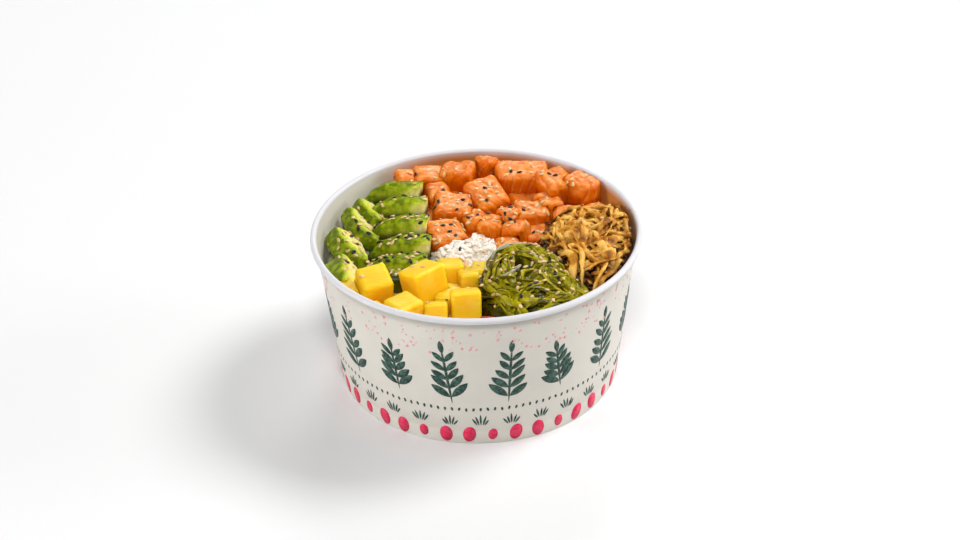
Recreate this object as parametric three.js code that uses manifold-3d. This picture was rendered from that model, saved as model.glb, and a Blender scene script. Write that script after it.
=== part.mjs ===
// A poke bowl: a rolled-rim paper bowl filled with rice, and on the rice cubes of raw salmon,
// diced mango, sliced avocado, seaweed salad, crispy fried onion, chilli and sesame seeds.
// Millimetres, +Z up. The origin is under the middle of the bowl, on what it stands on.

import * as THREE from "three";
import { ConvexGeometry } from "three/addons/geometries/ConvexGeometry.js";
import { mergeVertices } from "three/addons/utils/BufferGeometryUtils.js";
import Module from "manifold-3d";

const wasm = await Module();
wasm.setup();

// ---- Driving dimensions -------------------------------------------------------------------

// The paper bowl.
const RIM_RADIUS = 75;
const BOWL_HEIGHT = 73;
const FOOT_RADIUS = 64;
const CURL_RADIUS = 1.45; // of the rolled rim's section
const PAPER = 0.6; // coated paperboard
const HEM_HEIGHT = 7; // the wall's folded foot, in which the base stands
const HEM_THICKNESS = 1.8; // three layers of board
const BOWL_SIDES = 48;
const CURL_STEPS = 7;

// What lies in it.
const GAP = 0.3; // between pieces that touch
const RICE_LEVEL = 53; // height of the rice under the toppings, at the middle
const RICE_SLOPE = 0.045; // it is heaped a little higher at the back
const FOOD_TOP = 90; // above everything, for the block that levels the rice
const MOUND = {
  centre: [-3, 3], reach: [19, 14], base: 48, peak: 60.5, relief: 0.5, seed: 3, sides: 12,
  turn: 0,
};
const GRAIN = { length: 6.6, width: 2.3, count: 26, spread: 0.95, tilt: 0.35, showing: 0.25 };

// A cube of salmon or mango, or a slice of avocado: the middle of its top, its width, depth and
// height there, its turn about the upright, and its tip, which lowers its near side.
const SALMON = [
  { top: [22.5, 56, 71.5], size: [23, 15, 18], turn: -4, tip: 0 },
  { top: [-8, 59.5, 71.5], size: [16, 14, 17], turn: -8, tip: 4 },
  { top: [5.5, 41, 69], size: [16, 19, 16], turn: 22, tip: 8 },
  { top: [-10.5, 34, 67.5], size: [18, 15, 15], turn: -5, tip: 4 },
  { top: [51, 44, 72.5], size: [17, 14, 19], turn: -36, tip: 0 },
  { top: [-13.5, 14, 64.5], size: [17, 15, 14], turn: 16, tip: 4 },
  { top: [38, 46, 72.5], size: [14, 15, 18], turn: 32, tip: 0 },
  { top: [-22, 58.5, 69.5], size: [14, 13, 15], turn: 5, tip: 0 },
  { top: [43.5, 26.5, 65.5], size: [15, 12, 13], turn: -6, tip: 0 },
  { top: [26, 29.5, 66], size: [17, 12, 13], turn: 8, tip: 0 },
  { top: [34, 35, 67.5], size: [12, 13, 14], turn: 20, tip: 4 },
  { top: [14, 5.5, 62.5], size: [12, 12, 11], turn: 10, tip: -6 },
  { top: [6.5, 19.5, 65.5], size: [12, 13, 13], turn: -10, tip: -4 },
  { top: [17.5, 17, 64.5], size: [12, 12, 13], turn: -12, tip: -6 },
  { top: [-1, 24.5, 65.5], size: [11, 13, 13], turn: 15, tip: 0 },
  { top: [15.5, 26.5, 66.5], size: [11, 12, 14], turn: 25, tip: 0 },
  { top: [55.5, 25.5, 67], size: [12, 13, 14], turn: 30, tip: 0 },
  { top: [-17.5, 46.5, 67], size: [10, 13, 13], turn: 12, tip: 0 },
  { top: [6, 64, 73.5], size: [9, 9, 18], turn: 40, tip: 0 },
  { top: [-32.5, 55, 71], size: [11, 10, 16], turn: 10, tip: 0 },
  // The lower layer, which shows between the others.
  { top: [-17, 49, 62], size: [20, 14, 10], turn: 8, tip: 0 },
  { top: [2, 55, 63], size: [15, 14, 10], turn: -12, tip: 0 },
  { top: [26, 44, 63], size: [20, 18, 10], turn: 14, tip: 0 },
  { top: [-24, 32, 61], size: [12, 24, 9], turn: -10, tip: 0 },
  { top: [28, 20, 60], size: [16, 18, 9], turn: -8, tip: 0 },
];
const MANGO = [
  { top: [-45.5, -28, 67], size: [14, 15, 15], turn: 17, tip: 12 },
  { top: [-56.5, -26, 61], size: [12, 12, 11], turn: 20, tip: 0 },
  { top: [-25, -25, 69], size: [16, 15, 17], turn: 38, tip: -15 },
  { top: [-12, -13, 64], size: [11, 12, 13], turn: 6, tip: -10 },
  { top: [2.5, -14, 62], size: [11, 12, 12], turn: -8, tip: -10 },
  { top: [-5.5, -43, 68], size: [13, 14, 18], turn: 3, tip: -22 },
  { top: [-18, -46.5, 64.5], size: [10, 13, 15], turn: -2, tip: -26 },
  { top: [-32.5, -46, 65.5], size: [13, 14, 15], turn: 35, tip: -6 },
  { top: [-4.5, -20.5, 64], size: [9, 12, 13], turn: 14, tip: -12 },
  // The lower layer.
  { top: [-10, -31, 60], size: [16, 14, 9], turn: -12, tip: 0 },
  { top: [-30, -59, 59], size: [16, 12, 9], turn: 24, tip: 0 },
  { top: [-12, -63, 60], size: [15, 11, 10], turn: 6, tip: 0 },
  { top: [-46, -44, 59], size: [14, 14, 9], turn: 40, tip: 0 },
];
const AVOCADO = [
  { top: [-25.5, 45.5, 71], size: [28, 10, 18], turn: -16, tip: -14 },
  { top: [-23, 32, 70.5], size: [29, 10, 18], turn: -14, tip: -12 },
  { top: [-22, 18.5, 68.5], size: [29, 10, 18], turn: -12, tip: -12 },
  { top: [-21, 5, 66], size: [30, 10, 18], turn: -10, tip: -10 },
  { top: [-23, -6, 63], size: [30, 10, 16], turn: -8, tip: -10 },
  { top: [-56.5, 37.5, 66], size: [16, 8, 13], turn: 106, tip: -52 },
  { top: [-61.5, 31, 65], size: [21, 8, 14], turn: 103, tip: -52 },
  { top: [-67.5, 15, 64], size: [21, 10, 15], turn: 104, tip: -50 },
  { top: [-65.5, -5, 61.5], size: [23, 14, 16], turn: 86, tip: -38 },
  // The lower layer.
  { top: [-28, -15, 60], size: [28, 11, 14], turn: -4, tip: -8 },
  { top: [-47, 50, 62], size: [20, 10, 13], turn: 30, tip: -20 },
];
const CHILLI = { top: [5, -57.5, 62.5], size: [10, 4, 2.4], turn: -8, tip: 6 };

// How each is cut: the softness of its edges and how far its faces are from square.
const SALMON_CUT = { rounding: 1.5, unevenness: 0.055, seed: 40 };
const MANGO_CUT = { rounding: 1, unevenness: 0.02, seed: 20 };
const CHILLI_CUT = { rounding: 0.8, unevenness: 0.02, seed: 70 };
const AVOCADO_CUT = {
  rounding: 1.3,
  stone: 0.35, // radius of the hollow that the stone left, as a share of the slice's height
  roundness: 2.5, // of its outside: 2 is an ellipse and more is squarer
  points: 6, // round its outside
};

// The two heaps of strips, each over a rounded core.
const SEAWEED_HEAP = {
  centre: [26, -30], reach: [30, 36], base: 46, peak: 67, relief: 1, seed: 5, sides: 16,
  turn: 0,
};
const ONION_HEAP = {
  centre: [53, -5], reach: [28, 44], base: 46, peak: 69.5, relief: 1.4, seed: 8, sides: 16,
  turn: -14,
};
const LUMPS = [0.55, 0.5]; // radians of a heap's lumps to a millimetre, along X and Y
const SEAWEED_STRIP = { count: 12, length: [22, 34], width: 3, thickness: 1.5, steps: 5, bend: 2.2 };
const ONION_SHRED = { count: 20, length: [9, 18], width: 2.8, thickness: 1.5, steps: 3, bend: 2.6 };
const STRIP_SPREAD = 0.92; // how far out over its heap the middle of a strip can be
const STRIP_LIFT = [0.7, 1.5]; // of its middle, in its own thickness
const STRIP_SINK = 0.3; // of its ends, in its own thickness

const TRIES_PER_PIECE = 12; // for each small piece that is to find room
const SESAME = { length: 3, width: 1.9, thickness: 1, spacing: 4, steepest: 0.5, tries: 700 };
const SESAME_COUNTS = { avocado: 14, salmon: 12, mango: 3, seaweed: 7 };

// ---- Helpers ------------------------------------------------------------------------------

// A repeatable stream of numbers from 0 to 1.
function randomFrom(seed) {
  let state = (seed * 2654435761) >>> 0;
  return () => {
    state = (state + 0x6d2b79f5) >>> 0;
    let mixed = Math.imul(state ^ (state >>> 15), 1 | state);
    mixed = (mixed + Math.imul(mixed ^ (mixed >>> 7), 61 | mixed)) ^ mixed;
    return ((mixed ^ (mixed >>> 14)) >>> 0) / 4294967296;
  };
}

const between = (random, low, high) => low + (high - low) * random();
const radians = THREE.MathUtils.degToRad;

// A three.js geometry as a solid that can be joined and cut.
function solidOf(geometry) {
  const bare = geometry.clone();
  bare.deleteAttribute("normal");
  bare.deleteAttribute("uv");
  const merged = mergeVertices(bare, 1e-4);
  const vertProperties = new Float32Array(merged.attributes.position.array);
  const triVerts = new Uint32Array(merged.index.array);
  return new wasm.Manifold(new wasm.Mesh({ numProp: 3, vertProperties, triVerts }));
}

// A solid as a three.js geometry.
function geometryOf(solid) {
  const { vertProperties, triVerts } = solid.getMesh();
  const geometry = new THREE.BufferGeometry();
  geometry.setAttribute("position", new THREE.BufferAttribute(new Float32Array(vertProperties), 3));
  geometry.setIndex(new THREE.BufferAttribute(new Uint32Array(triVerts), 1));
  return geometry;
}

// The largest body of a solid, without the scraps that a cut can leave.
function mainBody(solid) {
  const bodies = solid.decompose();
  return bodies.reduce((largest, body) => (body.volume() > largest.volume() ? body : largest));
}

const overlaps = (a, b) => a.intersect(b).volume() > 0;

// Moves every corner of a geometry by a rule.
function reshape(geometry, rule) {
  const corners = geometry.attributes.position;
  const corner = new THREE.Vector3();
  for (let i = 0; i < corners.count; i += 1) {
    rule(corner.fromBufferAttribute(corners, i));
    corners.setXYZ(i, corner.x, corner.y, corner.z);
  }
  return geometry;
}

// A solid of revolution about the upright, from radius and height pairs that run up the outside.
function turned(outline) {
  const profile = outline.map(([radius, height]) => new THREE.Vector2(radius, height));
  return new THREE.LatheGeometry(profile, BOWL_SIDES).rotateX(Math.PI / 2);
}

// Brings a piece, modelled with the middle of its top at the origin, to its place.
function place(geometry, { top, turn, tip }) {
  const tilt = new THREE.Euler(radians(tip), 0, radians(turn), "ZXY");
  return geometry.applyMatrix4(new THREE.Matrix4().makeRotationFromEuler(tilt)).translate(...top);
}

// ---- The paper bowl -----------------------------------------------------------------------

const CURL_CENTRE = [RIM_RADIUS - CURL_RADIUS, BOWL_HEIGHT - CURL_RADIUS];
const CURL_FROM = -135; // degrees round the curl's section, where the wall runs into it
const CURL_TO = 180;

function curlPoint(step) {
  const angle = radians(CURL_FROM + ((CURL_TO - CURL_FROM) * step) / CURL_STEPS);
  const [radius, height] = CURL_CENTRE;
  return [radius + CURL_RADIUS * Math.cos(angle), height + CURL_RADIUS * Math.sin(angle)];
}

// The inside radius of the wall at a height.
function insideRadius(height) {
  const lip = CURL_CENTRE[0] - CURL_RADIUS;
  return FOOT_RADIUS - PAPER + ((lip - FOOT_RADIUS + PAPER) * height) / CURL_CENTRE[1];
}

function paperWall() {
  const curl = Array.from({ length: CURL_STEPS + 1 }, (_, step) => curlPoint(step));
  const hemInside = FOOT_RADIUS - HEM_THICKNESS;
  return solidOf(turned([
    [hemInside, 0],
    [FOOT_RADIUS, 0],
    ...curl,
    [insideRadius(HEM_HEIGHT), HEM_HEIGHT],
    [hemInside + insideRadius(HEM_HEIGHT) - insideRadius(0), HEM_HEIGHT],
    [hemInside, 0],
  ]));
}

const BASE_UNDER = HEM_HEIGHT + GAP;
const BASE_OVER = BASE_UNDER + PAPER;

function paperBase() {
  const radius = insideRadius(BASE_UNDER) - GAP;
  return solidOf(turned([[0, BASE_UNDER], [radius, BASE_UNDER], [radius, BASE_OVER], [0, BASE_OVER]]));
}

// The space that food can fill: inside the wall, and on past the rim.
function cavity() {
  const floor = BASE_OVER + GAP;
  const lip = insideRadius(CURL_CENTRE[1]) - GAP;
  return solidOf(turned([
    [0, floor],
    [insideRadius(floor) - GAP, floor],
    [lip, CURL_CENTRE[1]],
    [lip, FOOD_TOP],
    [0, FOOD_TOP],
  ]));
}

// ---- Pieces of food -----------------------------------------------------------------------

const CUBE_CORNERS = [-1, 1].flatMap((x) => [-1, 1].flatMap((y) => [-1, 1].map((z) => [x, y, z])));

// A hand-cut cube with soft edges, no two faces quite parallel. Grown by clearance on every side,
// and left sharp, it is the room that the cube needs.
function cube(spec, cut, index, clearance) {
  const [width, depth, height] = spec.size.map((side) => side + 2 * clearance);
  const random = randomFrom(cut.seed + index);
  const skew = Array.from({ length: 6 }, () => between(random, -cut.unevenness, cut.unevenness));
  const soft = clearance > 0 ? 0 : cut.rounding;
  const corners = [];
  for (const [across, along, up] of CUBE_CORNERS) {
    const x = width * (across / 2 + skew[0] * along * up + skew[1] * across * up);
    const y = depth * (along / 2 + skew[2] * across * up + skew[3] * along * up);
    const z = height * (up / 2 + skew[4] * across + skew[5] * along);
    corners.push(
      new THREE.Vector3(x, y - along * soft, z - up * soft),
      new THREE.Vector3(x - across * soft, y, z - up * soft),
      new THREE.Vector3(x - across * soft, y - along * soft, z),
    );
  }
  const body = new ConvexGeometry(corners);
  return solidOf(place(body.translate(0, 0, clearance - height / 2), spec));
}

// A slice across a quarter of an avocado: round on its outside, flat where it was cut, and
// hollow at the inner corner, where the stone was.
function avocadoSlice(spec, clearance) {
  const [width, thickness, height] = spec.size.map((side) => side + 2 * clearance);
  const stone = height * AVOCADO_CUT.stone;
  const bulge = 2 / AVOCADO_CUT.roundness;
  const outside = Array.from({ length: AVOCADO_CUT.points }, (_, i) => {
    const angle = (i / (AVOCADO_CUT.points - 1)) * (Math.PI / 2);
    return [-width * Math.sin(angle) ** bulge, height * Math.cos(angle) ** bulge - height];
  });
  const inside = [0, 1, 2].map((i) => {
    const angle = (i / 2) * (Math.PI / 2);
    return [-stone * Math.cos(angle), stone * Math.sin(angle) - height];
  });
  const section = new THREE.Shape([...outside, ...inside].map(([x, z]) => new THREE.Vector2(x, z)));
  const rounding = clearance > 0 ? 0 : AVOCADO_CUT.rounding;
  const slice = new THREE.ExtrudeGeometry(section, {
    depth: thickness - 2 * rounding,
    bevelEnabled: rounding > 0,
    bevelThickness: rounding,
    bevelSize: rounding,
    bevelOffset: -rounding,
    bevelSegments: 1,
  });
  slice.translate(clearance, clearance, rounding - thickness / 2).rotateX(Math.PI / 2);
  return solidOf(place(slice, spec));
}

const MIDDLE = new THREE.Vector2();

// The height of a rounded heap over a point, or its base outside it.
function heapHeight(heap, x, y) {
  const offset = new THREE.Vector2(x - heap.centre[0], y - heap.centre[1]);
  offset.rotateAround(MIDDLE, -radians(heap.turn));
  const [across, along] = [offset.x / heap.reach[0], offset.y / heap.reach[1]];
  const dome = Math.cbrt(Math.max(0, 1 - Math.abs(across) ** 3 - Math.abs(along) ** 3));
  const lumps = Math.sin(x * LUMPS[0] + heap.seed) * Math.sin(y * LUMPS[1] + 2 * heap.seed);
  return heap.base + (heap.peak - heap.base) * dome + heap.relief * dome * lumps;
}

function heapCore(heap, clearance) {
  const dome = new THREE.SphereGeometry(1, heap.sides, heap.sides / 2).rotateX(Math.PI / 2);
  dome.scale(...heap.reach, 1).rotateZ(radians(heap.turn)).translate(...heap.centre, 0);
  const wider = 1 + (2 * clearance) / Math.min(...heap.reach);
  reshape(dome, (corner) => {
    const under = heap.base + corner.z * (heap.peak - heap.base);
    const onTop = corner.z > 0.01;
    corner.z = onTop ? heapHeight(heap, corner.x, corner.y) + clearance : under;
    corner.x = heap.centre[0] + (corner.x - heap.centre[0]) * wider;
    corner.y = heap.centre[1] + (corner.y - heap.centre[1]) * wider;
  });
  return solidOf(dome);
}

// A random spot over a heap, as x and y, within a share of its reach.
function spotOver(heap, random, spread) {
  const reach = Math.sqrt(random()) * spread;
  const around = between(random, 0, 2 * Math.PI);
  const spot = new THREE.Vector2(Math.cos(around), Math.sin(around));
  spot.multiply(new THREE.Vector2(...heap.reach)).multiplyScalar(reach);
  return spot.rotateAround(MIDDLE, radians(heap.turn)).add(new THREE.Vector2(...heap.centre));
}

// A strip that lies over a heap: an arc in plan that starts and ends in the core.
function strip(heap, kind, random, clearance) {
  const length = between(random, ...kind.length);
  const heading = between(random, 0, 2 * Math.PI);
  const curve = between(random, -kind.bend, kind.bend) / length;
  const middle = spotOver(heap, random, STRIP_SPREAD);
  const lift = between(random, ...STRIP_LIFT) * kind.thickness;
  const points = Array.from({ length: kind.steps + 1 }, (_, i) => {
    const along = (i / kind.steps - 0.5) * length;
    const turn = heading + curve * along;
    const x = middle.x + along * Math.cos(turn);
    const y = middle.y + along * Math.sin(turn);
    const rise = lift * Math.cos((Math.PI * along) / length) - STRIP_SINK * kind.thickness;
    return new THREE.Vector3(x, y, heapHeight(heap, x, y) + rise);
  });
  const halfWidth = kind.width / 2 + clearance;
  const halfThickness = kind.thickness / 2 + clearance;
  const section = new THREE.Shape();
  section.moveTo(-halfThickness, -halfWidth);
  section.lineTo(halfThickness, -halfWidth);
  section.lineTo(halfThickness, halfWidth);
  section.lineTo(-halfThickness, halfWidth);
  const extrudePath = new THREE.CatmullRomCurve3(points);
  return solidOf(new THREE.ExtrudeGeometry(section, { steps: kind.steps, extrudePath }));
}

// A grain of cooked rice lying on the mound.
function grain(random, clearance) {
  const { x, y } = spotOver(MOUND, random, GRAIN.spread);
  const body = new THREE.SphereGeometry(1, 5, 3).rotateZ(Math.PI / 2);
  const halfWidth = GRAIN.width / 2 + clearance;
  body.scale(GRAIN.length / 2 + clearance, halfWidth, halfWidth);
  body.rotateY(between(random, -GRAIN.tilt, GRAIN.tilt)).rotateZ(between(random, 0, Math.PI));
  return solidOf(body.translate(x, y, heapHeight(MOUND, x, y) + GRAIN.width * GRAIN.showing));
}

// ---- Putting the bowl together ------------------------------------------------------------

const nodes = new Map(); // name -> { solid, kind }
const food = cavity();

// The block of air over the levelled rice; toppings keep to it and the rice keeps out of it.
function overRice(raised) {
  const block = new THREE.BoxGeometry(4 * RIM_RADIUS, 4 * RIM_RADIUS, FOOD_TOP);
  block.translate(0, 0, FOOD_TOP / 2).rotateX(Math.atan(RICE_SLOPE));
  return solidOf(block.translate(0, 0, RICE_LEVEL + raised));
}

const toppingSpace = food.intersect(overRice(GAP));
const riceCore = food.subtract(overRice(0)).add(food.intersect(heapCore(MOUND, 0)));
let taken = heapCore(MOUND, GAP); // room that later pieces keep clear of

// Adds a topping cut to the room that is left, and takes its room.
function addTopping(name, kind, build) {
  const solid = mainBody(build(0).intersect(toppingSpace).subtract(taken));
  taken = taken.add(build(GAP));
  nodes.set(name, { solid, kind });
}

const numbered = (word, index) => `${word}_${String(index + 1).padStart(2, "0")}`;

MANGO.forEach((spec, i) => {
  addTopping(numbered("mango", i), "mango", (room) => cube(spec, MANGO_CUT, i, room));
});
SALMON.forEach((spec, i) => {
  addTopping(numbered("salmon", i), "salmon", (room) => cube(spec, SALMON_CUT, i, room));
});
AVOCADO.forEach((spec, i) => {
  addTopping(numbered("avocado", i), "avocado", (room) => avocadoSlice(spec, room));
});
addTopping("chilli", "chilli", (room) => cube(CHILLI, CHILLI_CUT, 0, room));
addTopping("seaweed_salad", "seaweed", (room) => heapCore(SEAWEED_HEAP, room));
addTopping("crispy_onion", "onion", (room) => heapCore(ONION_HEAP, room));
nodes.set("rice", { solid: riceCore, kind: "rice" });

// Everything but one node, for testing what is added to that node.
function allBut(name) {
  const others = [...nodes].filter(([other]) => other !== name).map(([, node]) => node.solid);
  return wasm.Manifold.union(others);
}

// A small piece and the room it needs, both from the same draw of numbers.
function pieceAndRoom(build, random) {
  const draw = Math.floor(random() * 1e6);
  return [0, GAP].map((clearance) => build(randomFrom(draw), clearance));
}

const insideBowl = (room) => room.subtract(food).volume() === 0;

// Fuses small pieces onto a node until there are enough, leaving out each piece that would cross
// another node or the bowl's wall.
function coverWith(name, count, build, seed) {
  const node = nodes.get(name);
  const others = allBut(name);
  const random = randomFrom(seed);
  let missing = count;
  for (let attempt = 0; attempt < TRIES_PER_PIECE * count && missing > 0; attempt += 1) {
    const [piece, room] = pieceAndRoom(build, random);
    if (insideBowl(room) && !overlaps(room, others) && overlaps(piece, node.solid)) {
      node.solid = node.solid.add(piece);
      missing -= 1;
    }
  }
}

coverWith("rice", GRAIN.count, grain, 11);
coverWith(
  "seaweed_salad",
  SEAWEED_STRIP.count,
  (random, clearance) => strip(SEAWEED_HEAP, SEAWEED_STRIP, random, clearance),
  12,
);
coverWith(
  "crispy_onion",
  ONION_SHRED.count,
  (random, clearance) => strip(ONION_HEAP, ONION_SHRED, random, clearance),
  13,
);

// A sesame seed lying flat on a face.
function sesameSeed(point, normal, random, clearance) {
  const body = new THREE.SphereGeometry(1, 5, 3).rotateZ(Math.PI / 2);
  const half = [SESAME.length, SESAME.width, SESAME.thickness].map((side) => side / 2 + clearance);
  body.scale(...half).rotateZ(between(random, 0, Math.PI));
  const lay = new THREE.Quaternion().setFromUnitVectors(new THREE.Vector3(0, 0, 1), normal);
  return solidOf(body.applyQuaternion(lay).translate(point.x, point.y, point.z));
}

// Drops sesame on what is uppermost, most thickly on the avocado and least on the mango.
function scatterSesame() {
  const targets = [...nodes].map(([name, node]) => {
    const target = new THREE.Mesh(geometryOf(node.solid));
    target.name = name;
    return target;
  });
  const random = randomFrom(14);
  const down = new THREE.Vector3(0, 0, -1);
  const missing = { ...SESAME_COUNTS };
  const placed = [];
  for (let attempt = 0; attempt < SESAME.tries; attempt += 1) {
    const reach = FOOT_RADIUS * Math.sqrt(random());
    const around = between(random, 0, 2 * Math.PI);
    const above = new THREE.Vector3(reach * Math.cos(around), reach * Math.sin(around), FOOD_TOP);
    const [hit] = new THREE.Raycaster(above, down).intersectObjects(targets);
    const crowded = placed.some((other) => other.distanceTo(hit.point) < SESAME.spacing);
    const node = nodes.get(hit.object.name);
    const tooSteep = hit.face.normal.z < SESAME.steepest;
    if (crowded || tooSteep || !missing[node.kind]) continue;
    const build = (draw, clearance) => sesameSeed(hit.point, hit.face.normal, draw, clearance);
    const [piece, room] = pieceAndRoom(build, random);
    const others = [...nodes.values()].filter((other) => other !== node);
    if (!insideBowl(room) || others.some((other) => overlaps(room, other.solid))) continue;
    node.solid = node.solid.add(piece);
    missing[node.kind] -= 1;
    placed.push(hit.point);
  }
}

scatterSesame();

nodes.set("paper_wall", { solid: paperWall(), kind: "paper" });
nodes.set("paper_base", { solid: paperBase(), kind: "paper" });

// ---- The scene graph ----------------------------------------------------------------------

const FINISHES = {
  paper: { color: 0xe4e1dc, roughness: 0.5, metalness: 0 },
  rice: { color: 0xf4f0e6, roughness: 0.5, metalness: 0 },
  salmon: { color: 0xe8702a, roughness: 0.3, metalness: 0 },
  mango: { color: 0xfbc02c, roughness: 0.4, metalness: 0 },
  avocado: { color: 0x86a530, roughness: 0.4, metalness: 0 },
  chilli: { color: 0xa8200c, roughness: 0.3, metalness: 0 },
  seaweed: { color: 0x6a7012, roughness: 0.3, metalness: 0 },
  onion: { color: 0xc58430, roughness: 0.6, metalness: 0 },
};

const group = new THREE.Group();
for (const [name, { solid, kind }] of nodes) {
  const geometry = geometryOf(mainBody(solid));
  geometry.computeVertexNormals();
  const mesh = new THREE.Mesh(geometry, new THREE.MeshStandardMaterial(FINISHES[kind]));
  mesh.name = name;
  group.add(mesh);
}

export default group;
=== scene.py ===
"""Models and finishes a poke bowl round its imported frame: a printed paper bowl of rice with
salmon, mango, avocado, seaweed salad, crispy onion, chilli and sesame, and the stage it stands on."""

import math

import bmesh
import bpy
import numpy as np
from bpy.props import FloatProperty, FloatVectorProperty, IntProperty, PointerProperty
from mathutils import Matrix, Vector
from mathutils.bvhtree import BVHTree


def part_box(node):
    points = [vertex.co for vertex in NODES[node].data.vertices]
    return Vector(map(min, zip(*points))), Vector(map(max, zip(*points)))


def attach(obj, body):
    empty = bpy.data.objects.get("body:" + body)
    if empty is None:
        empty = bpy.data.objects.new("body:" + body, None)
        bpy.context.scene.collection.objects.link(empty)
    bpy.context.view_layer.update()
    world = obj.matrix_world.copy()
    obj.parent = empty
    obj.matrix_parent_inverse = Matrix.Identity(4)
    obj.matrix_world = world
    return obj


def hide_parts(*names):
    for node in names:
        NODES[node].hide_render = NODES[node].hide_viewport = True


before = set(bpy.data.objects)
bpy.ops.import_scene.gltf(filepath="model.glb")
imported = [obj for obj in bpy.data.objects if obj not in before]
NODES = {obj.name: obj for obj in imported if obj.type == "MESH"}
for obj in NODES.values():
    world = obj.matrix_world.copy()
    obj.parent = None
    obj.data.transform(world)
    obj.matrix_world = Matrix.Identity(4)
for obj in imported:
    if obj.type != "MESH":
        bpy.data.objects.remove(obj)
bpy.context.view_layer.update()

bl_info = {
    "name": "Poke Bowl",
    "version": (1, 0, 0),
    "blender": (4, 5, 0),
    "location": "3D View > Sidebar > Poke Bowl",
    "description": "Models and finishes a paper bowl of rice, fish, fruit and salad",
    "category": "Add Mesh",
}

MM = 0.001
BOWL_NODES = ("paper_wall", "paper_base")
ABOVE = 0.12  # metres, over everything
DOWN = Vector((0, 0, -1))
UP = Vector((0, 0, 1))
TOUCHING = 0.001 * MM  # corners nearer to each other than this are one


# ---- Settings ----


def length(name, description, default):
    return FloatProperty(
        name=name, description=description, default=default, min=0, unit="LENGTH", precision=5
    )


def colour(name, description, default):
    return FloatVectorProperty(
        name=name, description=description, default=default, size=3, min=0, max=1, subtype="COLOR"
    )


def count(name, description, default):
    return IntProperty(name=name, description=description, default=default, min=0)


class PaperBowlSettings(bpy.types.PropertyGroup):
    """The paper bowl's sizes, and the colours of its board and inks"""

    rim_radius: length("Rim Radius", "Outer radius of the rolled rim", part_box("paper_wall")[1].x)
    height: length("Height", "From the foot to the top of the rim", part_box("paper_wall")[1].z)
    foot_radius: length("Foot Radius", "Outer radius of the foot", 0.064)
    curl_radius: length("Curl Radius", "Radius of the rolled rim's section", 0.00145)
    board: length("Board", "Thickness of the paperboard", 0.0006)
    hem_height: length("Hem Height", "Height of the wall's folded foot", 0.007)
    hem_thickness: length("Hem Thickness", "Thickness of the folded foot", 0.0018)
    cream: colour("Board Cream", "Colour of the coated and tinted board", (0.65, 0.615, 0.55))
    white: colour("Bare White", "Colour of the untinted rim", (0.62, 0.61, 0.63))
    # Painted orange light bounced from the fish onto the inside of the board
    salmon_bounce_colour: colour("Oiled Board", "Colour of the board inside, by the fish", (0.52, 0.19, 0.035))
    green: colour("Green Ink", "Colour of the leaves", (0.007, 0.036, 0.024))
    crimson: colour("Crimson Ink", "Colour of the berries", (0.68, 0.006, 0.06))
    pink: colour("Pink Ink", "Colour of the flecks", (0.80, 0.33, 0.33))


class FoodSettings(bpy.types.PropertyGroup):
    """How much of each loose topping there is, and the colours of the food"""

    rice_grains: count("Rice Grains", "Grains on the mound in the middle", 360)
    stray_grains: count("Stray Grains", "Grains in the gaps between toppings", 800)
    seaweed_strips: count("Seaweed Strips", "Strips over the seaweed salad", 290)
    onion_shreds: count("Onion Shreds", "Shreds over the crispy onion", 135)
    onion_crumbs: count("Onion Crumbs", "Loose crumbs on the crispy onion", 180)
    black_seeds: count("Black Seeds", "Black sesame seeds", 110)
    toasted_seeds: count("Toasted Seeds", "Toasted sesame seeds", 300)
    rice: colour("Rice", "Colour of the cooked rice", (0.85, 0.775, 0.67))
    salmon: colour("Salmon", "Colour of the salmon's flesh", (0.68, 0.165, 0.0006))
    # Also the colour of the painted shade on the salmon's lower sides
    salmon_deep: colour("Deep Salmon", "Colour of its redder parts", (0.61, 0.092, 0.0004))
    # Also the colour of the painted sheen on the salmon's tops
    salmon_fat_and_sheen: colour("Salmon Fat", "Colour of its fat and its dewy tops", (0.85, 0.36, 0.12))
    mango: colour("Mango", "Colour of the mango's flesh", (0.92, 0.52, 0.011))
    mango_pale: colour("Pale Mango", "Colour of its paler fibres", (0.92, 0.64, 0.11))
    avocado_rim: colour("Avocado Rim", "Colour of the flesh under the skin", (0.13, 0.18, 0.002))
    avocado_heart: colour("Avocado Heart", "Colour of the flesh by the stone", (0.74, 0.66, 0.25))
    seaweed: colour("Seaweed", "Colour of the dressed seaweed", (0.21, 0.18, 0.001))
    onion: colour("Onion", "Colour of the fried crust", (0.60, 0.255, 0.014))
    onion_dark: colour("Dark Onion", "Colour of its darkest crust", (0.12, 0.032, 0.002))
    chilli: colour("Chilli", "Colour of the chilli", (0.30, 0.012, 0.003))


class StageSettings(bpy.types.PropertyGroup):
    """The floor, the light and the camera"""

    floor_size: length("Floor Size", "Width of the round floor", 6.2)
    distance: length("Camera Distance", "From the camera to the middle of the bowl", 1.0)
    aim_height: length("Aim Height", "Height of the point that the camera turns about", 0.037)


# ---- Finishes ----

NOISE_SPAN = (0.3, 0.7)  # nearly all noise lies between these


def is_socket(value):
    return isinstance(value, bpy.types.NodeSocket)


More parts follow.
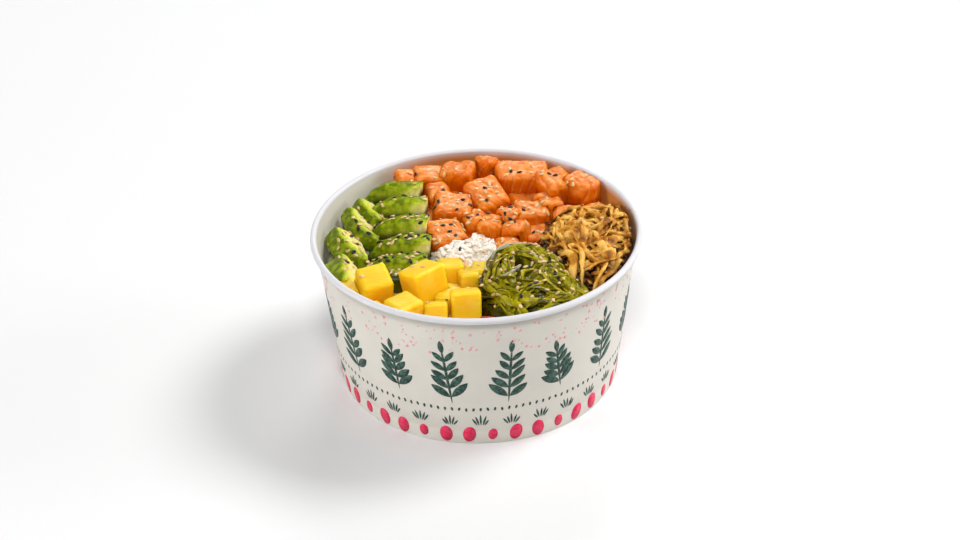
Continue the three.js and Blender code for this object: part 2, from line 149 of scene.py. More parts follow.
class Finish:
    """A material, and the nodes that feed its shader. Sizes are in millimetres."""

    def __init__(self, name, roughness, **sockets):
        self.material = bpy.data.materials.new(name)
        self.material.use_nodes = True
        self.tree = self.material.node_tree
        self.shader = self.tree.nodes["Principled BSDF"]
        self.shader.inputs["Roughness"].default_value = roughness
        for socket, value in sockets.items():
            self.shader.inputs[socket.replace("_", " ")].default_value = value
        self.place = self.tree.nodes.new("ShaderNodeTexCoord").outputs["Object"]

    def node(self, kind, inputs, output=0, **settings):
        """Adds a node, sets or links its inputs, and gives back one of its outputs."""
        made = self.tree.nodes.new(kind)
        for setting, value in settings.items():
            setattr(made, setting, value)
        for key, value in inputs.items():
            if is_socket(value):
                self.tree.links.new(value, made.inputs[key])
            else:
                made.inputs[key].default_value = value
        return made.outputs[output]

    def feed(self, socket, value):
        self.tree.links.new(value, self.shader.inputs[socket])

    def noise(self, size, detail=3, stretch=None, turn=None):
        """Soft noise with features of about that size, drawn out along an axis by stretch."""
        place = self.place
        if stretch:
            inputs = {"Vector": place, "Rotation": turn, "Scale": [1 / side for side in stretch]}
            place = self.node("ShaderNodeMapping", inputs)
        inputs = {"Vector": place, "Scale": 1 / (size * MM), "Detail": detail}
        return self.node("ShaderNodeTexNoise", inputs)

    def attribute(self, name):
        return self.node("ShaderNodeAttribute", {}, output=2, attribute_name=name)

    def math(self, operation, first, second):
        return self.node("ShaderNodeMath", {0: first, 1: second}, operation=operation)

    def fade(self, value, start, end, low=0.0, high=1.0):
        """Goes from low to high as a value goes from start to end, and stays there beyond."""
        inputs = {0: value, 1: start, 2: end, 3: low, 4: high}
        return self.node("ShaderNodeMapRange", inputs, interpolation_type="SMOOTHSTEP")

    def patches(self, size, start, end, low=0.0, high=1.0, detail=3):
        """Patches of about that size, from low to high as the noise goes from start to end."""
        return self.fade(self.noise(size, detail), start, end, low, high)

    def mix(self, share, first, second):
        """A colour between two colours."""
        inputs = {0: share}
        for key, value in ((6, first), (7, second)):
            inputs[key] = value if is_socket(value) else (*value, 1)
        return self.node("ShaderNodeMix", inputs, output=2, data_type="RGBA")

    def mottled(self, shade, other, share=1.0, **patches):
        """A colour that turns into another in patches, by up to a share."""
        return self.mix(self.patches(high=share, **patches), shade, other)

    def ramp(self, value, stops):
        """A colour for a value, through colours at given values from 0 to 1."""
        made = self.tree.nodes.new("ShaderNodeValToRGB")
        elements = made.color_ramp.elements
        while len(elements) < len(stops):
            elements.new(0.5)
        for element, (at, shade) in zip(elements, stops):
            element.position = at
            element.color = (*shade, 1)
        self.tree.links.new(value, made.inputs[0])
        return made.outputs[0]

    def soaked_and_shaded(self, shade):
        """A colour, with the juice and painted shade that are kept with the mesh mixed in."""
        made = self.tree.nodes.new("ShaderNodeAttribute")
        made.attribute_name = "juice"
        return self.mix(made.outputs["Alpha"], shade, made.outputs["Color"])

    def shaded(self, shade, deep, start, end, share):
        """A colour that turns into a deeper one as the surface sinks among the food, as painted
        shade; with a lighter colour it paints light instead.
        """
        return self.mix(self.fade(self.attribute("sunk"), start, end, 0.0, share), shade, deep)

    def paint(self, shade):
        self.feed("Base Color", shade)

    def wet(self, size, low, high):
        """Lets the roughness go from low to high in patches of about that size."""
        self.feed("Roughness", self.patches(size, *NOISE_SPAN, low, high, detail=2))

    def relief(self, height, depth, detail=3):
        """Raises the surface by up to that depth, by a value or by noise of a given size."""
        value = height if is_socket(height) else self.noise(height, detail)
        inputs = {"Strength": 1.0, "Distance": depth * MM, "Height": value}
        self.feed("Normal", self.node("ShaderNodeBump", inputs))


def flesh(name, roughness, depth, glow, weight=0.35, **sockets):
    """The finish of something moist that light enters: glow is how far each colour travels."""
    return Finish(
        name,
        roughness,
        Subsurface_Weight=weight,
        Subsurface_Radius=glow,
        Subsurface_Scale=depth * MM,
        **{"Specular_IOR_Level": 0.3, **sockets},
    )


# ---- Making pieces ----

WAVES = {"terms": 9, "paces": (0.6, 1.5), "height": 1.5}


def add_piece(name, mesh, finish, slot, *replaced):
    """Puts a finished mesh into the scene as a piece of the bowl."""
    mesh.name = name
    mesh.materials.clear()
    mesh.materials.append(finish.material)
    mesh.shade_smooth()
    piece = bpy.data.objects.new(name, mesh)
    bpy.context.scene.collection.objects.link(piece)
    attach(piece, "root")
    if replaced:
        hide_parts(*replaced)


def mesh_of(bm):
    """Turns a bmesh into a mesh and frees it."""
    mesh = bpy.data.meshes.new("piece")
    bm.to_mesh(mesh)
    bm.free()
    return mesh


def evaluated(bench):
    """The finished mesh of an object that is in the scene only for this, and is taken away."""
    depsgraph = bpy.context.evaluated_depsgraph_get()
    done = bpy.data.meshes.new_from_object(bench.evaluated_get(depsgraph))
    bpy.data.objects.remove(bench)
    return done


def modified(mesh, *modifiers):
    """A mesh after modifiers, each given as its type and a dict of its settings."""
    bench = bpy.data.objects.new("bench", mesh)
    bpy.context.scene.collection.objects.link(bench)
    for kind, settings in modifiers:
        modifier = bench.modifiers.new(kind.title(), kind)
        for setting, value in settings.items():
            setattr(modifier, setting, value)
    done = evaluated(bench)
    bpy.data.meshes.remove(mesh)
    return done


def softened(node, fineness, rounds):
    """A fine-meshed copy of a CAD node, with its edges rounded off."""
    bm = bmesh.new()
    bm.from_mesh(NODES[node].data)
    bmesh.ops.remove_doubles(bm, verts=bm.verts, dist=TOUCHING)
    return modified(
        mesh_of(bm),
        ("REMESH", {"mode": "VOXEL", "voxel_size": fineness * MM}),
        ("SMOOTH", {"factor": 0.5, "iterations": rounds}),
    )


def corners(mesh):
    """The places of a mesh's corners, in millimetres."""
    places = np.empty(3 * len(mesh.vertices), np.float32)
    mesh.vertices.foreach_get("co", places)
    return places.reshape(-1, 3) / MM


def normals(mesh):
    """The directions that a mesh's corners face."""
    directions = np.empty(3 * len(mesh.vertices), np.float32)
    mesh.vertex_normals.foreach_get("vector", directions)
    return directions.reshape(-1, 3)


def push(mesh, distances):
    """Moves each corner of a mesh along its normal, by so many millimetres."""
    moved = corners(mesh) + normals(mesh) * distances[:, None]
    mesh.vertices.foreach_set("co", (moved * MM).astype(np.float32).ravel())
    mesh.update()


def store(mesh, name, values):
    """Keeps a number for each corner, for the material to read."""
    attribute = mesh.attributes.new(name, "FLOAT", "POINT")
    attribute.data.foreach_set("value", values.astype(np.float32))


def waves(points, size, seed):
    """Smooth noise of about -1 to 1, with features of about that size, in millimetres."""
    stream = np.random.default_rng(seed)
    terms = WAVES["terms"]
    headings = stream.normal(size=(terms, 3))
    headings /= np.linalg.norm(headings, axis=1)[:, None]
    pace = math.pi / size * stream.uniform(*WAVES["paces"], terms)
    phases = stream.uniform(0, 2 * math.pi, terms)
    summed = np.sin(points @ (headings * pace[:, None]).T + phases).sum(axis=1)
    return summed * WAVES["height"] / terms


def roughen(mesh, layers, seed, swell=0.0):
    """Moves a mesh's surface by waves, each layer of them given as its height, its size and what
    it adds to the seed, and swells it by so many millimetres."""
    points = corners(mesh)
    heights = sum(height * waves(points, size, seed + more) for height, size, more in layers)
    push(mesh, heights + swell)


def small_shape(bm):
    """Turns a bmesh in millimetres into a mesh."""
    bmesh.ops.scale(bm, vec=(MM, MM, MM), verts=bm.verts)
    bmesh.ops.recalc_face_normals(bm, faces=bm.faces)
    return mesh_of(bm)


def copies(shapes, places):
    """One mesh of many small shapes: each place is a shape's number and its matrix."""
    bm = bmesh.new()
    for number, matrix in places:
        copy = shapes[number].copy()
        copy.transform(matrix)
        bm.from_mesh(copy)
        bpy.data.meshes.remove(copy)
    for shape in shapes:
        bpy.data.meshes.remove(shape)
    return mesh_of(bm)


def lay(place, normal, heading):
    """The matrix that lays a small shape flat on a surface, pointing in a heading."""
    upright = UP.rotation_difference(normal).to_matrix().to_4x4()
    return Matrix.Translation(place) @ upright @ Matrix.Rotation(heading, 4, "Z")


def any_heading(stream):
    return stream.uniform(0, 2 * math.pi)


def point_in_disc(reach, stream):
    """A random point round the middle, no farther out than reach."""
    out, around = reach * math.sqrt(stream.random()), any_heading(stream)
    return out * math.cos(around), out * math.sin(around)


def gathered(wanted, tries, attempt, name=None):
    """What attempts give, up to as many as are wanted, from so many tries for each. It is an
    error if fewer are found for something with a name."""
    found = []
    for _ in range(tries * wanted):
        place = attempt()
        if place:
            found.append(place)
        if len(found) == wanted:
            break
    if name and len(found) < wanted:
        raise RuntimeError(f"only {len(found)} of {wanted} found room for {name}")
    return found


def plan_box(node):
    """The two corners of a CAD node's box in plan, in millimetres."""
    return [np.array(corner)[:2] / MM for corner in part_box(node)]


class FoodTop:
    """Finds the uppermost food over a point, from the solids in the frame."""

    def __init__(self):
        places, faces, self.owners = [], [], []
        for name, node in NODES.items():
            if name in BOWL_NODES:
                continue
            first = len(places)
            places.extend(vertex.co for vertex in node.data.vertices)
            for face in node.data.polygons:
                faces.append([first + corner for corner in face.vertices])
                self.owners.append(name)
        self.tree = BVHTree.FromPolygons(places, faces)

    def at(self, x, y):
        """The node's name, the place on it in metres and its normal, or Nones."""
        place, normal, face, _ = self.tree.ray_cast(Vector((x * MM, y * MM, ABOVE)), DOWN)
        if place is None:
            return None, None, None
        return self.owners[face], place, normal


FOOD_TOP = FoodTop()

# What the rice near each topping turns into, by the first word of its nodes: partly the
# topping's juices, partly painted shade in the gaps between toppings.
JUICE_AND_SHADE = {
    "salmon": (0.60, 0.13, 0.012),
    "mango": (0.80, 0.42, 0.015),
    "avocado": (0.10, 0.13, 0.006),
    "seaweed": (0.07, 0.06, 0.003),
    "crispy": (0.20, 0.07, 0.004),
    "chilli": (0.3, 0.02, 0.005),
}
# The map's reach and cells and how far the juices and painted shade spread, in millimetres, and in
# cells how far the spreading is worked out and how far round a point its highest food is looked for.
FOOD_MAP = {"reach": 78, "cell": 2.0, "spread": 3.0, "blur": 6, "roof": 2}


class FoodMap:
    """The colour of juices and painted shade, and the height of the food's uneven top, over any point
    of the bowl.
    """

    def __init__(self):
        reach, cell = FOOD_MAP["reach"], FOOD_MAP["cell"]
        ticks = np.arange(-reach, reach + cell, cell)
        tint_grid = np.zeros((len(ticks), len(ticks), 4))
        heights = np.zeros((len(ticks), len(ticks)))
        for row, x in enumerate(ticks):
            for column, y in enumerate(ticks):
                owner, place, _ = FOOD_TOP.at(x, y)
                colour_here = JUICE_AND_SHADE.get((owner or "").split("_")[0])
                if colour_here:
                    tint_grid[row, column] = (*colour_here, 1)
                if owner:
                    heights[row, column] = place.z / MM
        tint_grid = self.blurred(tint_grid)
        self.shades = tint_grid[..., :3] / np.maximum(tint_grid[..., 3:], 1e-6)
        near = range(-FOOD_MAP["roof"], FOOD_MAP["roof"] + 1)
        shifts = [np.roll(heights, (down, aside), (0, 1)) for down in near for aside in near]
        self.roof = self.blurred(np.max(shifts, axis=0)[..., None])

    @staticmethod
    def blurred(grid):
        offsets = np.arange(-FOOD_MAP["blur"], FOOD_MAP["blur"] + 1) * FOOD_MAP["cell"]
        blur = np.exp(-((offsets / FOOD_MAP["spread"]) ** 2) / 2)
        blur /= blur.sum()
        for axis in (0, 1):
            grid = np.apply_along_axis(np.convolve, axis, grid, blur, mode="same")
        return grid

    @staticmethod
    def sampled(grid, points):
        """The grid's values at points in millimetres, evened out between its cells."""
        just_inside = len(grid) - 1.001
        spots = (points[:, :2] + FOOD_MAP["reach"]) / FOOD_MAP["cell"]
        spots = np.clip(spots, 0, just_inside)
        cells = spots.astype(int)
        x, y = cells.T
        right, up = (spots - cells).T[..., None]
        near = grid[x, y] * (1 - right) + grid[x + 1, y] * right
        far = grid[x, y + 1] * (1 - right) + grid[x + 1, y + 1] * right
        return near * (1 - up) + far * up

    def soak_and_shade(self, mesh, amounts):
        """Keeps the colour of juice and painted shade and, as its alpha, how much of it there is."""
        values = np.column_stack([self.sampled(self.shades, corners(mesh)), amounts])
        attribute = mesh.attributes.new("juice", "FLOAT_COLOR", "POINT")
        attribute.data.foreach_set("color", values.astype(np.float32).ravel())

    def sink(self, mesh, share=1.0):
        """Keeps a share of how far each corner is under the food's top, in millimetres."""
        points = corners(mesh)
        store(mesh, "sunk", share * (self.sampled(self.roof, points)[:, 0] - points[:, 2]))


FOOD = FoodMap()


# ---- The paper bowl ----

WALL_STEPS = 192  # round the bowl
# Rings of corners up the wall's outside and down its inside, as shares of its height.
OUTSIDE_RINGS = (0.25, 0.5, 0.75, 0.93, 0.945, 0.96, 0.975, 0.985, 1.0)
INSIDE_RINGS = (0.98, 0.96, 0.94, 0.9, 0.85, 0.75, 0.6, 0.4)
# The rounded lower edges of the foot's outside and of its hem: how far in or out, and how high.
FOOT_EDGE = ((-0.5, 0), (-0.15, 0.12), (0, 0.5))
HEM_EDGE = ((0, 0.4), (0.3, 0))
CURL_ARC = (-135, 180, 24)  # degrees round the rim's section, and its steps
CURL_SHARE = 1.85  # how far down the rim is bare, in radii of its section
# Painted shadow under the rolled rim, on the wall's outside where the curl overhangs it: its heights,
# share and colour.
RIM_SHADOW = {"start": 65.6, "full": 68.8, "share": 0.5, "shade": (0.33, 0.3, 0.25)}
SCORE = {"height": 7.6, "depth": 0.14, "half_width": 0.45}  # pressed in over the folded foot
INSIDE_MARGIN = 0.05  # corners as near as this to the wall's inside are on it
BASE_THICKNESS = 0.6
BASE_RING = {"radius": 52, "width": 2.5, "height": 0.35}  # pressed into the base
FLAP = {
    "width": 9, "from": 1.2, "to": 69.6, "thickness": 0.28, "lift": -0.03, "columns": 8, "rows": 30,
}
# Painted orange light bounced from the fish onto the board inside: heights in millimetres, and how
# far towards the fish it starts and is full.
SALMON_BOUNCE = {
    "from": 20, "towards": (0.5, 0.87), "start": 14, "full": 58,
    "top": 71.2, "fade": 1.6, "least": 0.25,
}
MOTTLING = 0.955  # how light the darker parts of the board are, to the rest
BOARD_GRAIN = (0.35, 0.012)  # its size and depth
PRINT_LIFT = 0.02
PRINT_THICKNESS = 0.05


def curl_centre(bowl):
    return bowl.rim_radius - bowl.curl_radius, bowl.height - bowl.curl_radius


def outside_radius(bowl, height):
    """The outer radius of the wall at a height, in metres."""
    radius, top = curl_centre(bowl)
    slant = math.radians(CURL_ARC[0])
    under = radius + bowl.curl_radius * math.cos(slant)
    reach = top + bowl.curl_radius * math.sin(slant)
    return bowl.foot_radius + (under - bowl.foot_radius) * height / reach


def inside_radius(bowl, height):
    """The inner radius of the wall at a height, in metres."""
    radius, top = curl_centre(bowl)
    foot = bowl.foot_radius - bowl.board
    return foot + (radius - bowl.curl_radius - foot) * height / top


def spun(profile, closed):
    """Spins radius and height pairs, in metres, about the upright into a closed surface."""
    bm = bmesh.new()
    points = [bm.verts.new((radius, 0, height)) for radius, height in profile]
    for start, end in zip(points, points[1:] + points[:1] if closed else points[1:]):
        bm.edges.new((start, end))
    bmesh.ops.spin(
        bm,
        geom=bm.verts[:] + bm.edges[:],
        cent=(0, 0, 0),
        axis=(0, 0, 1),
        angle=2 * math.pi,
        steps=WALL_STEPS,
        use_merge=True,
    )
    bmesh.ops.remove_doubles(bm, verts=bm.verts, dist=TOUCHING)
    bmesh.ops.recalc_face_normals(bm, faces=bm.faces)
    return mesh_of(bm)


def wall_profile(bowl):
    """The section of the wall: its foot, its outside, the rolled rim, its inside and the hem."""
    foot, hem = bowl.foot_radius, bowl.foot_radius - bowl.hem_thickness
    outside = [(foot + out * MM, height * MM) for out, height in FOOT_EDGE]
    score, depth, half = (SCORE[key] * MM for key in ("height", "depth", "half_width"))
    for height, sunk in ((score - half, 0), (score, depth), (score + half, 0)):
        outside.append((outside_radius(bowl, height) - sunk, height))
    for share in OUTSIDE_RINGS:
        height = share * (bowl.height - 2 * bowl.curl_radius)
        outside.append((outside_radius(bowl, height), height))
    start, end, steps = CURL_ARC
    radius, top = curl_centre(bowl)
    curl = []
    for step in range(steps + 1):
        angle = math.radians(start + (end - start) * step / steps)
        place = (bowl.curl_radius * math.cos(angle), bowl.curl_radius * math.sin(angle))
        curl.append((radius + place[0], top + place[1]))
    inside = [(inside_radius(bowl, share * top), share * top) for share in INSIDE_RINGS]
    fold = inside_radius(bowl, bowl.hem_height)
    slant = fold - inside_radius(bowl, 0)
    folded = [(fold, bowl.hem_height), (hem + slant, bowl.hem_height)]
    folded += [(hem + out * MM, height * MM) for out, height in HEM_EDGE]
    return outside + curl + inside + folded


def base_profile():
    """The section of the base, from the middle out and back, with the ring pressed into it."""
    low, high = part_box("paper_base")
    ring, width, rise = (BASE_RING[key] * MM for key in ("radius", "width", "height"))
    under = [(0, low.z), (ring - width, low.z), (ring, low.z + rise), (ring + width, low.z)]
    over = [(radius, height + BASE_THICKNESS * MM) for radius, height in reversed(under)]
    return [*under, (high.x, low.z), (high.x, high.z), *over]


def wrapped(bm, bowl, thickness, lift):
    """Thickens flat shapes, laid out in arc length and height in millimetres, and bends them round
    the bowl. Arc length is measured at mid height from the bowl's front."""
    whole = bmesh.ops.extrude_face_region(bm, geom=bm.faces[:] + bm.edges[:] + bm.verts[:])
    raised = [item for item in whole["geom"] if isinstance(item, bmesh.types.BMVert)]
    bmesh.ops.translate(bm, vec=(0, 0, thickness), verts=raised)
    middle = outside_radius(bowl, bowl.height / 2) / MM
    for vertex in bm.verts:
        arc, height, out = vertex.co
        radius = outside_radius(bowl, height * MM) + (out + lift) * MM
        angle = arc / middle
        vertex.co = (radius * math.sin(angle), -radius * math.cos(angle), height * MM)
    bmesh.ops.recalc_face_normals(bm, faces=bm.faces)
    return mesh_of(bm)


def board_finish(bowl):
    """Cream coated paperboard: faintly mottled, bare on the rim, with a painted shadow under the curl
    and painted orange light, bounced from the fish, inside by the fish.
    """
    finish = Finish("coated_board", 0.42, Specular_IOR_Level=0.35)
    darker = tuple(MOTTLING * channel for channel in bowl.cream)
    board = finish.mottled(darker, bowl.cream, size=26, start=0.35, end=0.65, detail=4)
    # Over the board go a painted shadow under the curl and painted orange light bounced from the fish
    parts = (("crease", RIM_SHADOW["shade"]), ("bare", bowl.white), ("oil", bowl.salmon_bounce_colour))
    for attribute, shade in parts:
        board = finish.mix(finish.attribute(attribute), board, shade)
    finish.paint(board)
    finish.relief(*BOARD_GRAIN)
    return finish


def ink_finish(name, shade, worn):
    """Printed ink: a little uneven, with fine specks where the board shows through."""
    finish = Finish(name, 0.45, Specular_IOR_Level=0.3)
    finish.paint(finish.mottled(shade, worn, size=1.6, start=0.35, end=0.75, detail=5))
    finish.relief(*BOARD_GRAIN)
    return finish


class POKEBOWL_OT_paper_bowl(bpy.types.Operator):
    """Makes the paper bowl: wall, rolled rim and folded foot, base and glued side flap"""

    bl_idname = "poke_bowl.paper_bowl"
    bl_label = "Paper Bowl"

    def execute(self, context):
        bowl = context.scene.poke_bowl_paper
        board = board_finish(bowl)
        wall = spun(wall_profile(bowl), closed=True)
        store(wall, "oil", self.oil(wall, bowl))
        heights = corners(wall)[:, 2]
        store(wall, "bare", heights > (bowl.height - CURL_SHARE * bowl.curl_radius) / MM)
        # Painted shadow: the wall's outside darkens upwards towards the overhanging curl, up to a
        # share
        rise = np.clip((heights - RIM_SHADOW["start"]) / (RIM_SHADOW["full"] - RIM_SHADOW["start"]), 0, 1)
        store(wall, "crease", RIM_SHADOW["share"] * rise * ~self.inside(wall, bowl))
        add_piece("bowl_wall", wall, board, "paper_board", "paper_wall")
        base = spun(base_profile(), closed=False)
        add_piece("bowl_base", base, board, "paper_board", "paper_base")
        add_piece("bowl_side_flap", self.flap(bowl), board, "paper_board")
        return {"FINISHED"}

    @staticmethod
    def inside(wall, bowl):
        """Whether each corner is on the wall's inside."""
        points = corners(wall)
        inner = inside_radius(bowl, points[:, 2] * MM) / MM
        return np.hypot(points[:, 0], points[:, 1]) < inner + INSIDE_MARGIN

    def oil(self, wall, bowl):
        """How much painted orange light bounced from the fish the wall gets: only inside, below the
        rim, and most towards the fish.
        """
        points = corners(wall)
        inside = self.inside(wall, bowl) & (points[:, 2] > SALMON_BOUNCE["from"])
        towards = points[:, :2] @ np.array(SALMON_BOUNCE["towards"])
        share = np.clip((towards - SALMON_BOUNCE["start"]) / (SALMON_BOUNCE["full"] - SALMON_BOUNCE["start"]), 0, 1)
        under_rim = np.clip((SALMON_BOUNCE["top"] - points[:, 2]) / SALMON_BOUNCE["fade"], SALMON_BOUNCE["least"], 1)
        return inside * share**2 * (3 - 2 * share) * under_rim

    @staticmethod
    def flap(bowl):
        """The overlap down the back, where the wall is glued to itself."""
        bm = bmesh.new()
        bmesh.ops.create_grid(bm, x_segments=FLAP["columns"], y_segments=FLAP["rows"], size=0.5)
        rise = FLAP["to"] - FLAP["from"]
        bmesh.ops.scale(bm, vec=(FLAP["width"], rise, 1), verts=bm.verts)
        back = math.pi * outside_radius(bowl, bowl.height / 2) / MM
        middle = (back, FLAP["from"] + rise / 2, 0)
        bmesh.ops.translate(bm, vec=middle, verts=bm.verts)
        return wrapped(bm, bowl, FLAP["thickness"], FLAP["lift"])


# ---- The print ----

# Sizes are in millimetres and turns in degrees, and most pairs are ranges of a size's share.
SPRIGS = 17  # round the bowl
SPRIG = {
    "foot": 23.5, "height": 32, "heights": (0.95, 1.04), "lean": 9, "stem": 1.3, "pairs": 5,
    "leaf": 11.5, "leaf_width": 4.2, "leaves": (0.9, 1.08), "shrink": 0.45,
    "lowest": 0.7, "spaces": 5.6, "topmost": 0.86,  # of the pairs' joints with the stem
    "spread": 50, "narrowing": 12, "uneven": 5, "joint": 0.55,
    "short": 0.78, "short_rise": 2.5,  # of the short sprigs between the tall ones
    "tip": (0.98, 0.62, 0.6),  # where the leaf at the tip is, its length and its width
}
TUFTS = 30
TUFT = {
    "foot": 11.0, "foot_width": 3.2, "height": 6, "blades": 5, "spread": 34, "uneven": 4,
    "width": 1.0, "rounded": 1.1, "heights": (0.8, 1.1),
}
DASHES = 132
DASH = {"height": 20.4, "length": 2.0, "width": 1.1, "shift": 0.2, "turn": 20}
BERRIES = 39
BERRY = {"height": 5.4, "length": 9.0, "width": 6.2, "shift": 0.4, "turn": 14, "small": 0.72}
FLECKS = 330
FLECK = {"from": 52, "to": 67, "radius": (0.4, 0.9), "width": 1.5}
POINTED = {"leaf": 0.4, "stem": 0.2, "blade": 0.3}  # and 0 for ovals
LEAF_SIDES = 18
PRINT_SEED = 21


def leaf_shape(bm, at, length, width, heading, pointed=0):
    """A flat leaf, or an oval where pointed is 0, laid out round a point."""
    made = bmesh.ops.create_circle(
        bm, cap_ends=True, cap_tris=True, segments=LEAF_SIDES, radius=0.5
    )
    for vertex in made["verts"]:
        taper = max(0.0, 1 - (2 * vertex.co.x) ** 2) ** pointed if pointed else 1
        vertex.co = (vertex.co.x * length, vertex.co.y * width * taper, 0)
    turn = Matrix.Translation((*at, 0)) @ Matrix.Rotation(math.radians(heading), 4, "Z")
    bmesh.ops.transform(bm, matrix=turn, verts=made["verts"])


def point_along(start, heading, distance):
    angle = math.radians(heading)
    return start[0] + distance * math.cos(angle), start[1] + distance * math.sin(angle)


def draw_sprig(bm, foot, height, lean, stream):
    """A stem with pairs of leaves that get smaller towards its tip."""
    heading = 90 - lean
    middle = point_along(foot, heading, height / 2)
    leaf_shape(bm, middle, height, SPRIG["stem"], heading, POINTED["stem"])
    leaf, width = SPRIG["leaf"], SPRIG["leaf_width"]
    for pair in range(SPRIG["pairs"]):
        share = (pair + SPRIG["lowest"]) / SPRIG["spaces"]
        size = 1 - SPRIG["shrink"] * share
        joint = point_along(foot, heading, height * share * SPRIG["topmost"])
        for side in (-1, 1):
            uneven = stream.uniform(-SPRIG["uneven"], SPRIG["uneven"])
            turn = heading + side * (SPRIG["spread"] - SPRIG["narrowing"] * share + uneven)
            long = leaf * size * stream.uniform(*SPRIG["leaves"])
            middle = point_along(joint, turn, long * SPRIG["joint"])
            leaf_shape(bm, middle, long, width * size, turn, POINTED["leaf"])
    share, longer, wider = SPRIG["tip"]
    tip = point_along(foot, heading, height * share)
    leaf_shape(bm, tip, leaf * longer, width * wider, heading, POINTED["leaf"])


def draw_tuft(bm, foot, stream):
    """A few short blades that fan out from one place."""
    for blade in range(TUFT["blades"]):
        share = blade / (TUFT["blades"] - 1) - 0.5
        uneven = stream.uniform(-TUFT["uneven"], TUFT["uneven"])
        heading = 90 + 2 * share * TUFT["spread"] + uneven
        long = TUFT["height"] * (1 - TUFT["rounded"] * share**2) * stream.uniform(*TUFT["heights"])
        root = (foot[0] - share * TUFT["foot_width"], foot[1])
        middle = point_along(root, heading, long / 2)
        leaf_shape(bm, middle, long, TUFT["width"], heading, POINTED["blade"])


class POKEBOWL_OT_print(bpy.types.Operator):
    """Prints the wall with sprigs, tufts, berries and flecks"""

    bl_idname = "poke_bowl.print"
    bl_label = "Print"

    def execute(self, context):
        bowl = context.scene.poke_bowl_paper
        stream = np.random.default_rng(PRINT_SEED)
        around = 2 * math.pi * outside_radius(bowl, bowl.height / 2) / MM
        inks = (
            ("green", self.leaves, bowl.green, (0.06, 0.14, 0.11)),
            ("red", self.berries, bowl.crimson, (0.66, 0.05, 0.13)),
            ("pink", self.flecks, bowl.pink, (0.82, 0.52, 0.52)),
        )
        for name, draw, shade, worn in inks:
            bm = bmesh.new()
            draw(bm, around, stream)
            mesh = wrapped(bm, bowl, PRINT_THICKNESS, PRINT_LIFT)
            finish = ink_finish(f"print_{name}", shade, worn)
            add_piece(f"ink_{name}", mesh, finish, f"print_{name}")
        return {"FINISHED"}

    @staticmethod
    def leaves(bm, around, stream):
        """Tall and short sprigs in turn, over a ring of tufts and a ring of dashes."""
        for sprig in range(SPRIGS):
            size, rise = (SPRIG["short"], SPRIG["short_rise"]) if sprig % 2 else (1, 0)
            height = SPRIG["height"] * size * stream.uniform(*SPRIG["heights"])
            foot = (around * (sprig + 0.5) / SPRIGS, SPRIG["foot"] + rise)
            draw_sprig(bm, foot, height, stream.uniform(-SPRIG["lean"], SPRIG["lean"]), stream)
        for tuft in range(TUFTS):
            draw_tuft(bm, (around * tuft / TUFTS, TUFT["foot"]), stream)
        for dash in range(DASHES):
            up = DASH["height"] + stream.uniform(-DASH["shift"], DASH["shift"])
            heading = 90 + stream.uniform(-DASH["turn"], DASH["turn"])
            leaf_shape(bm, (around * dash / DASHES, up), DASH["length"], DASH["width"], heading)

    @staticmethod
    def berries(bm, around, stream):
        """A ring of berries in threes along the foot, one of each three small."""
        for berry in range(BERRIES):
            size = 1 if berry % 3 else BERRY["small"]
            heading = 90 + stream.uniform(-BERRY["turn"], BERRY["turn"])
            up = BERRY["height"] + stream.uniform(-BERRY["shift"], BERRY["shift"])
            at = (around * (berry + 0.5) / BERRIES, up)
            leaf_shape(bm, at, BERRY["length"] * size, BERRY["width"] * size, heading)

    @staticmethod
    def flecks(bm, around, stream):
        """Small flecks scattered under the rim."""
        for _ in range(FLECKS):
            at = (stream.uniform(0, around), stream.uniform(FLECK["from"], FLECK["to"]))
            radius = stream.uniform(*FLECK["radius"])
            leaf_shape(bm, at, 2 * radius, FLECK["width"] * radius, stream.uniform(0, 180))


# ---- Rice ----

RICE_BED = {"fineness": 1.6, "rounds": 2}
GRAIN = {
    "length": 6.4, "lengths": (0.86, 1.1), "width": 2.25, "widths": (0.9, 1.1), "flat": 0.86,
    "bend": 0.35, "blunt": 0.8, "taper": 0.12, "shapes": 6, "sides": 9, "rings": 7,
}
MOUND = {"centre": (-3, 3), "reach": (19, 14), "beyond": 1.05}
# How grains lie: how tilted, how deep, how level, how far askew, and how high they are piled.
LYING = {"tilt": 0.28, "sunk": -0.2, "level": 0.5, "askew": 0.1, "mound": 1.3, "gaps": 0.5}
RICE_REACH = 68.5  # of the stray grains
ALONG_WALL = 65  # grains farther out than this lie along the wall
# How much juice and painted shade the rice takes on the mound and off it, and where that
# changes, in the mound's reaches.
SOAKED_AND_SHADED = {"mound": 0.05, "gaps": 0.75, "from": 0.8, "over": 0.3}
GAP_TRIES = 40
RICE_SEED = 31


def grain_shape(stream):
    """A cooked grain: blunt at its ends, a little bent and a little flat."""
    bm = bmesh.new()
    bmesh.ops.create_uvsphere(
        bm, u_segments=GRAIN["sides"], v_segments=GRAIN["rings"], radius=0.5
    )
    long = GRAIN["length"] * stream.uniform(*GRAIN["lengths"])
    wide = GRAIN["width"] * stream.uniform(*GRAIN["widths"])
    bend = stream.uniform(-GRAIN["bend"], GRAIN["bend"])
    for vertex in bm.verts:
        across, deep, along = vertex.co
        blunt = 0.5 * math.copysign(abs(2 * along) ** GRAIN["blunt"], along)
        width = wide * (1 + GRAIN["taper"] * along)
        bent = across * width + bend * 4 * along**2
        vertex.co = (blunt * long, bent, deep * width * GRAIN["flat"])
    return small_shape(bm)


def rice_finish(food):
    """Moist, slightly see-through white grains."""
    finish = flesh("cooked_rice", 0.35, 0.7, (1.0, 0.9, 0.75), weight=0.3)
    body = finish.mottled(food.rice, (0.90, 0.85, 0.78), size=2.4, start=0.4, end=0.7)
    # Painted shade: the rice turns darker, and tinted by the toppings' juices, in the gaps between
    # them
    finish.paint(finish.soaked_and_shaded(body))
    finish.relief(0.7, 0.03)
    return finish


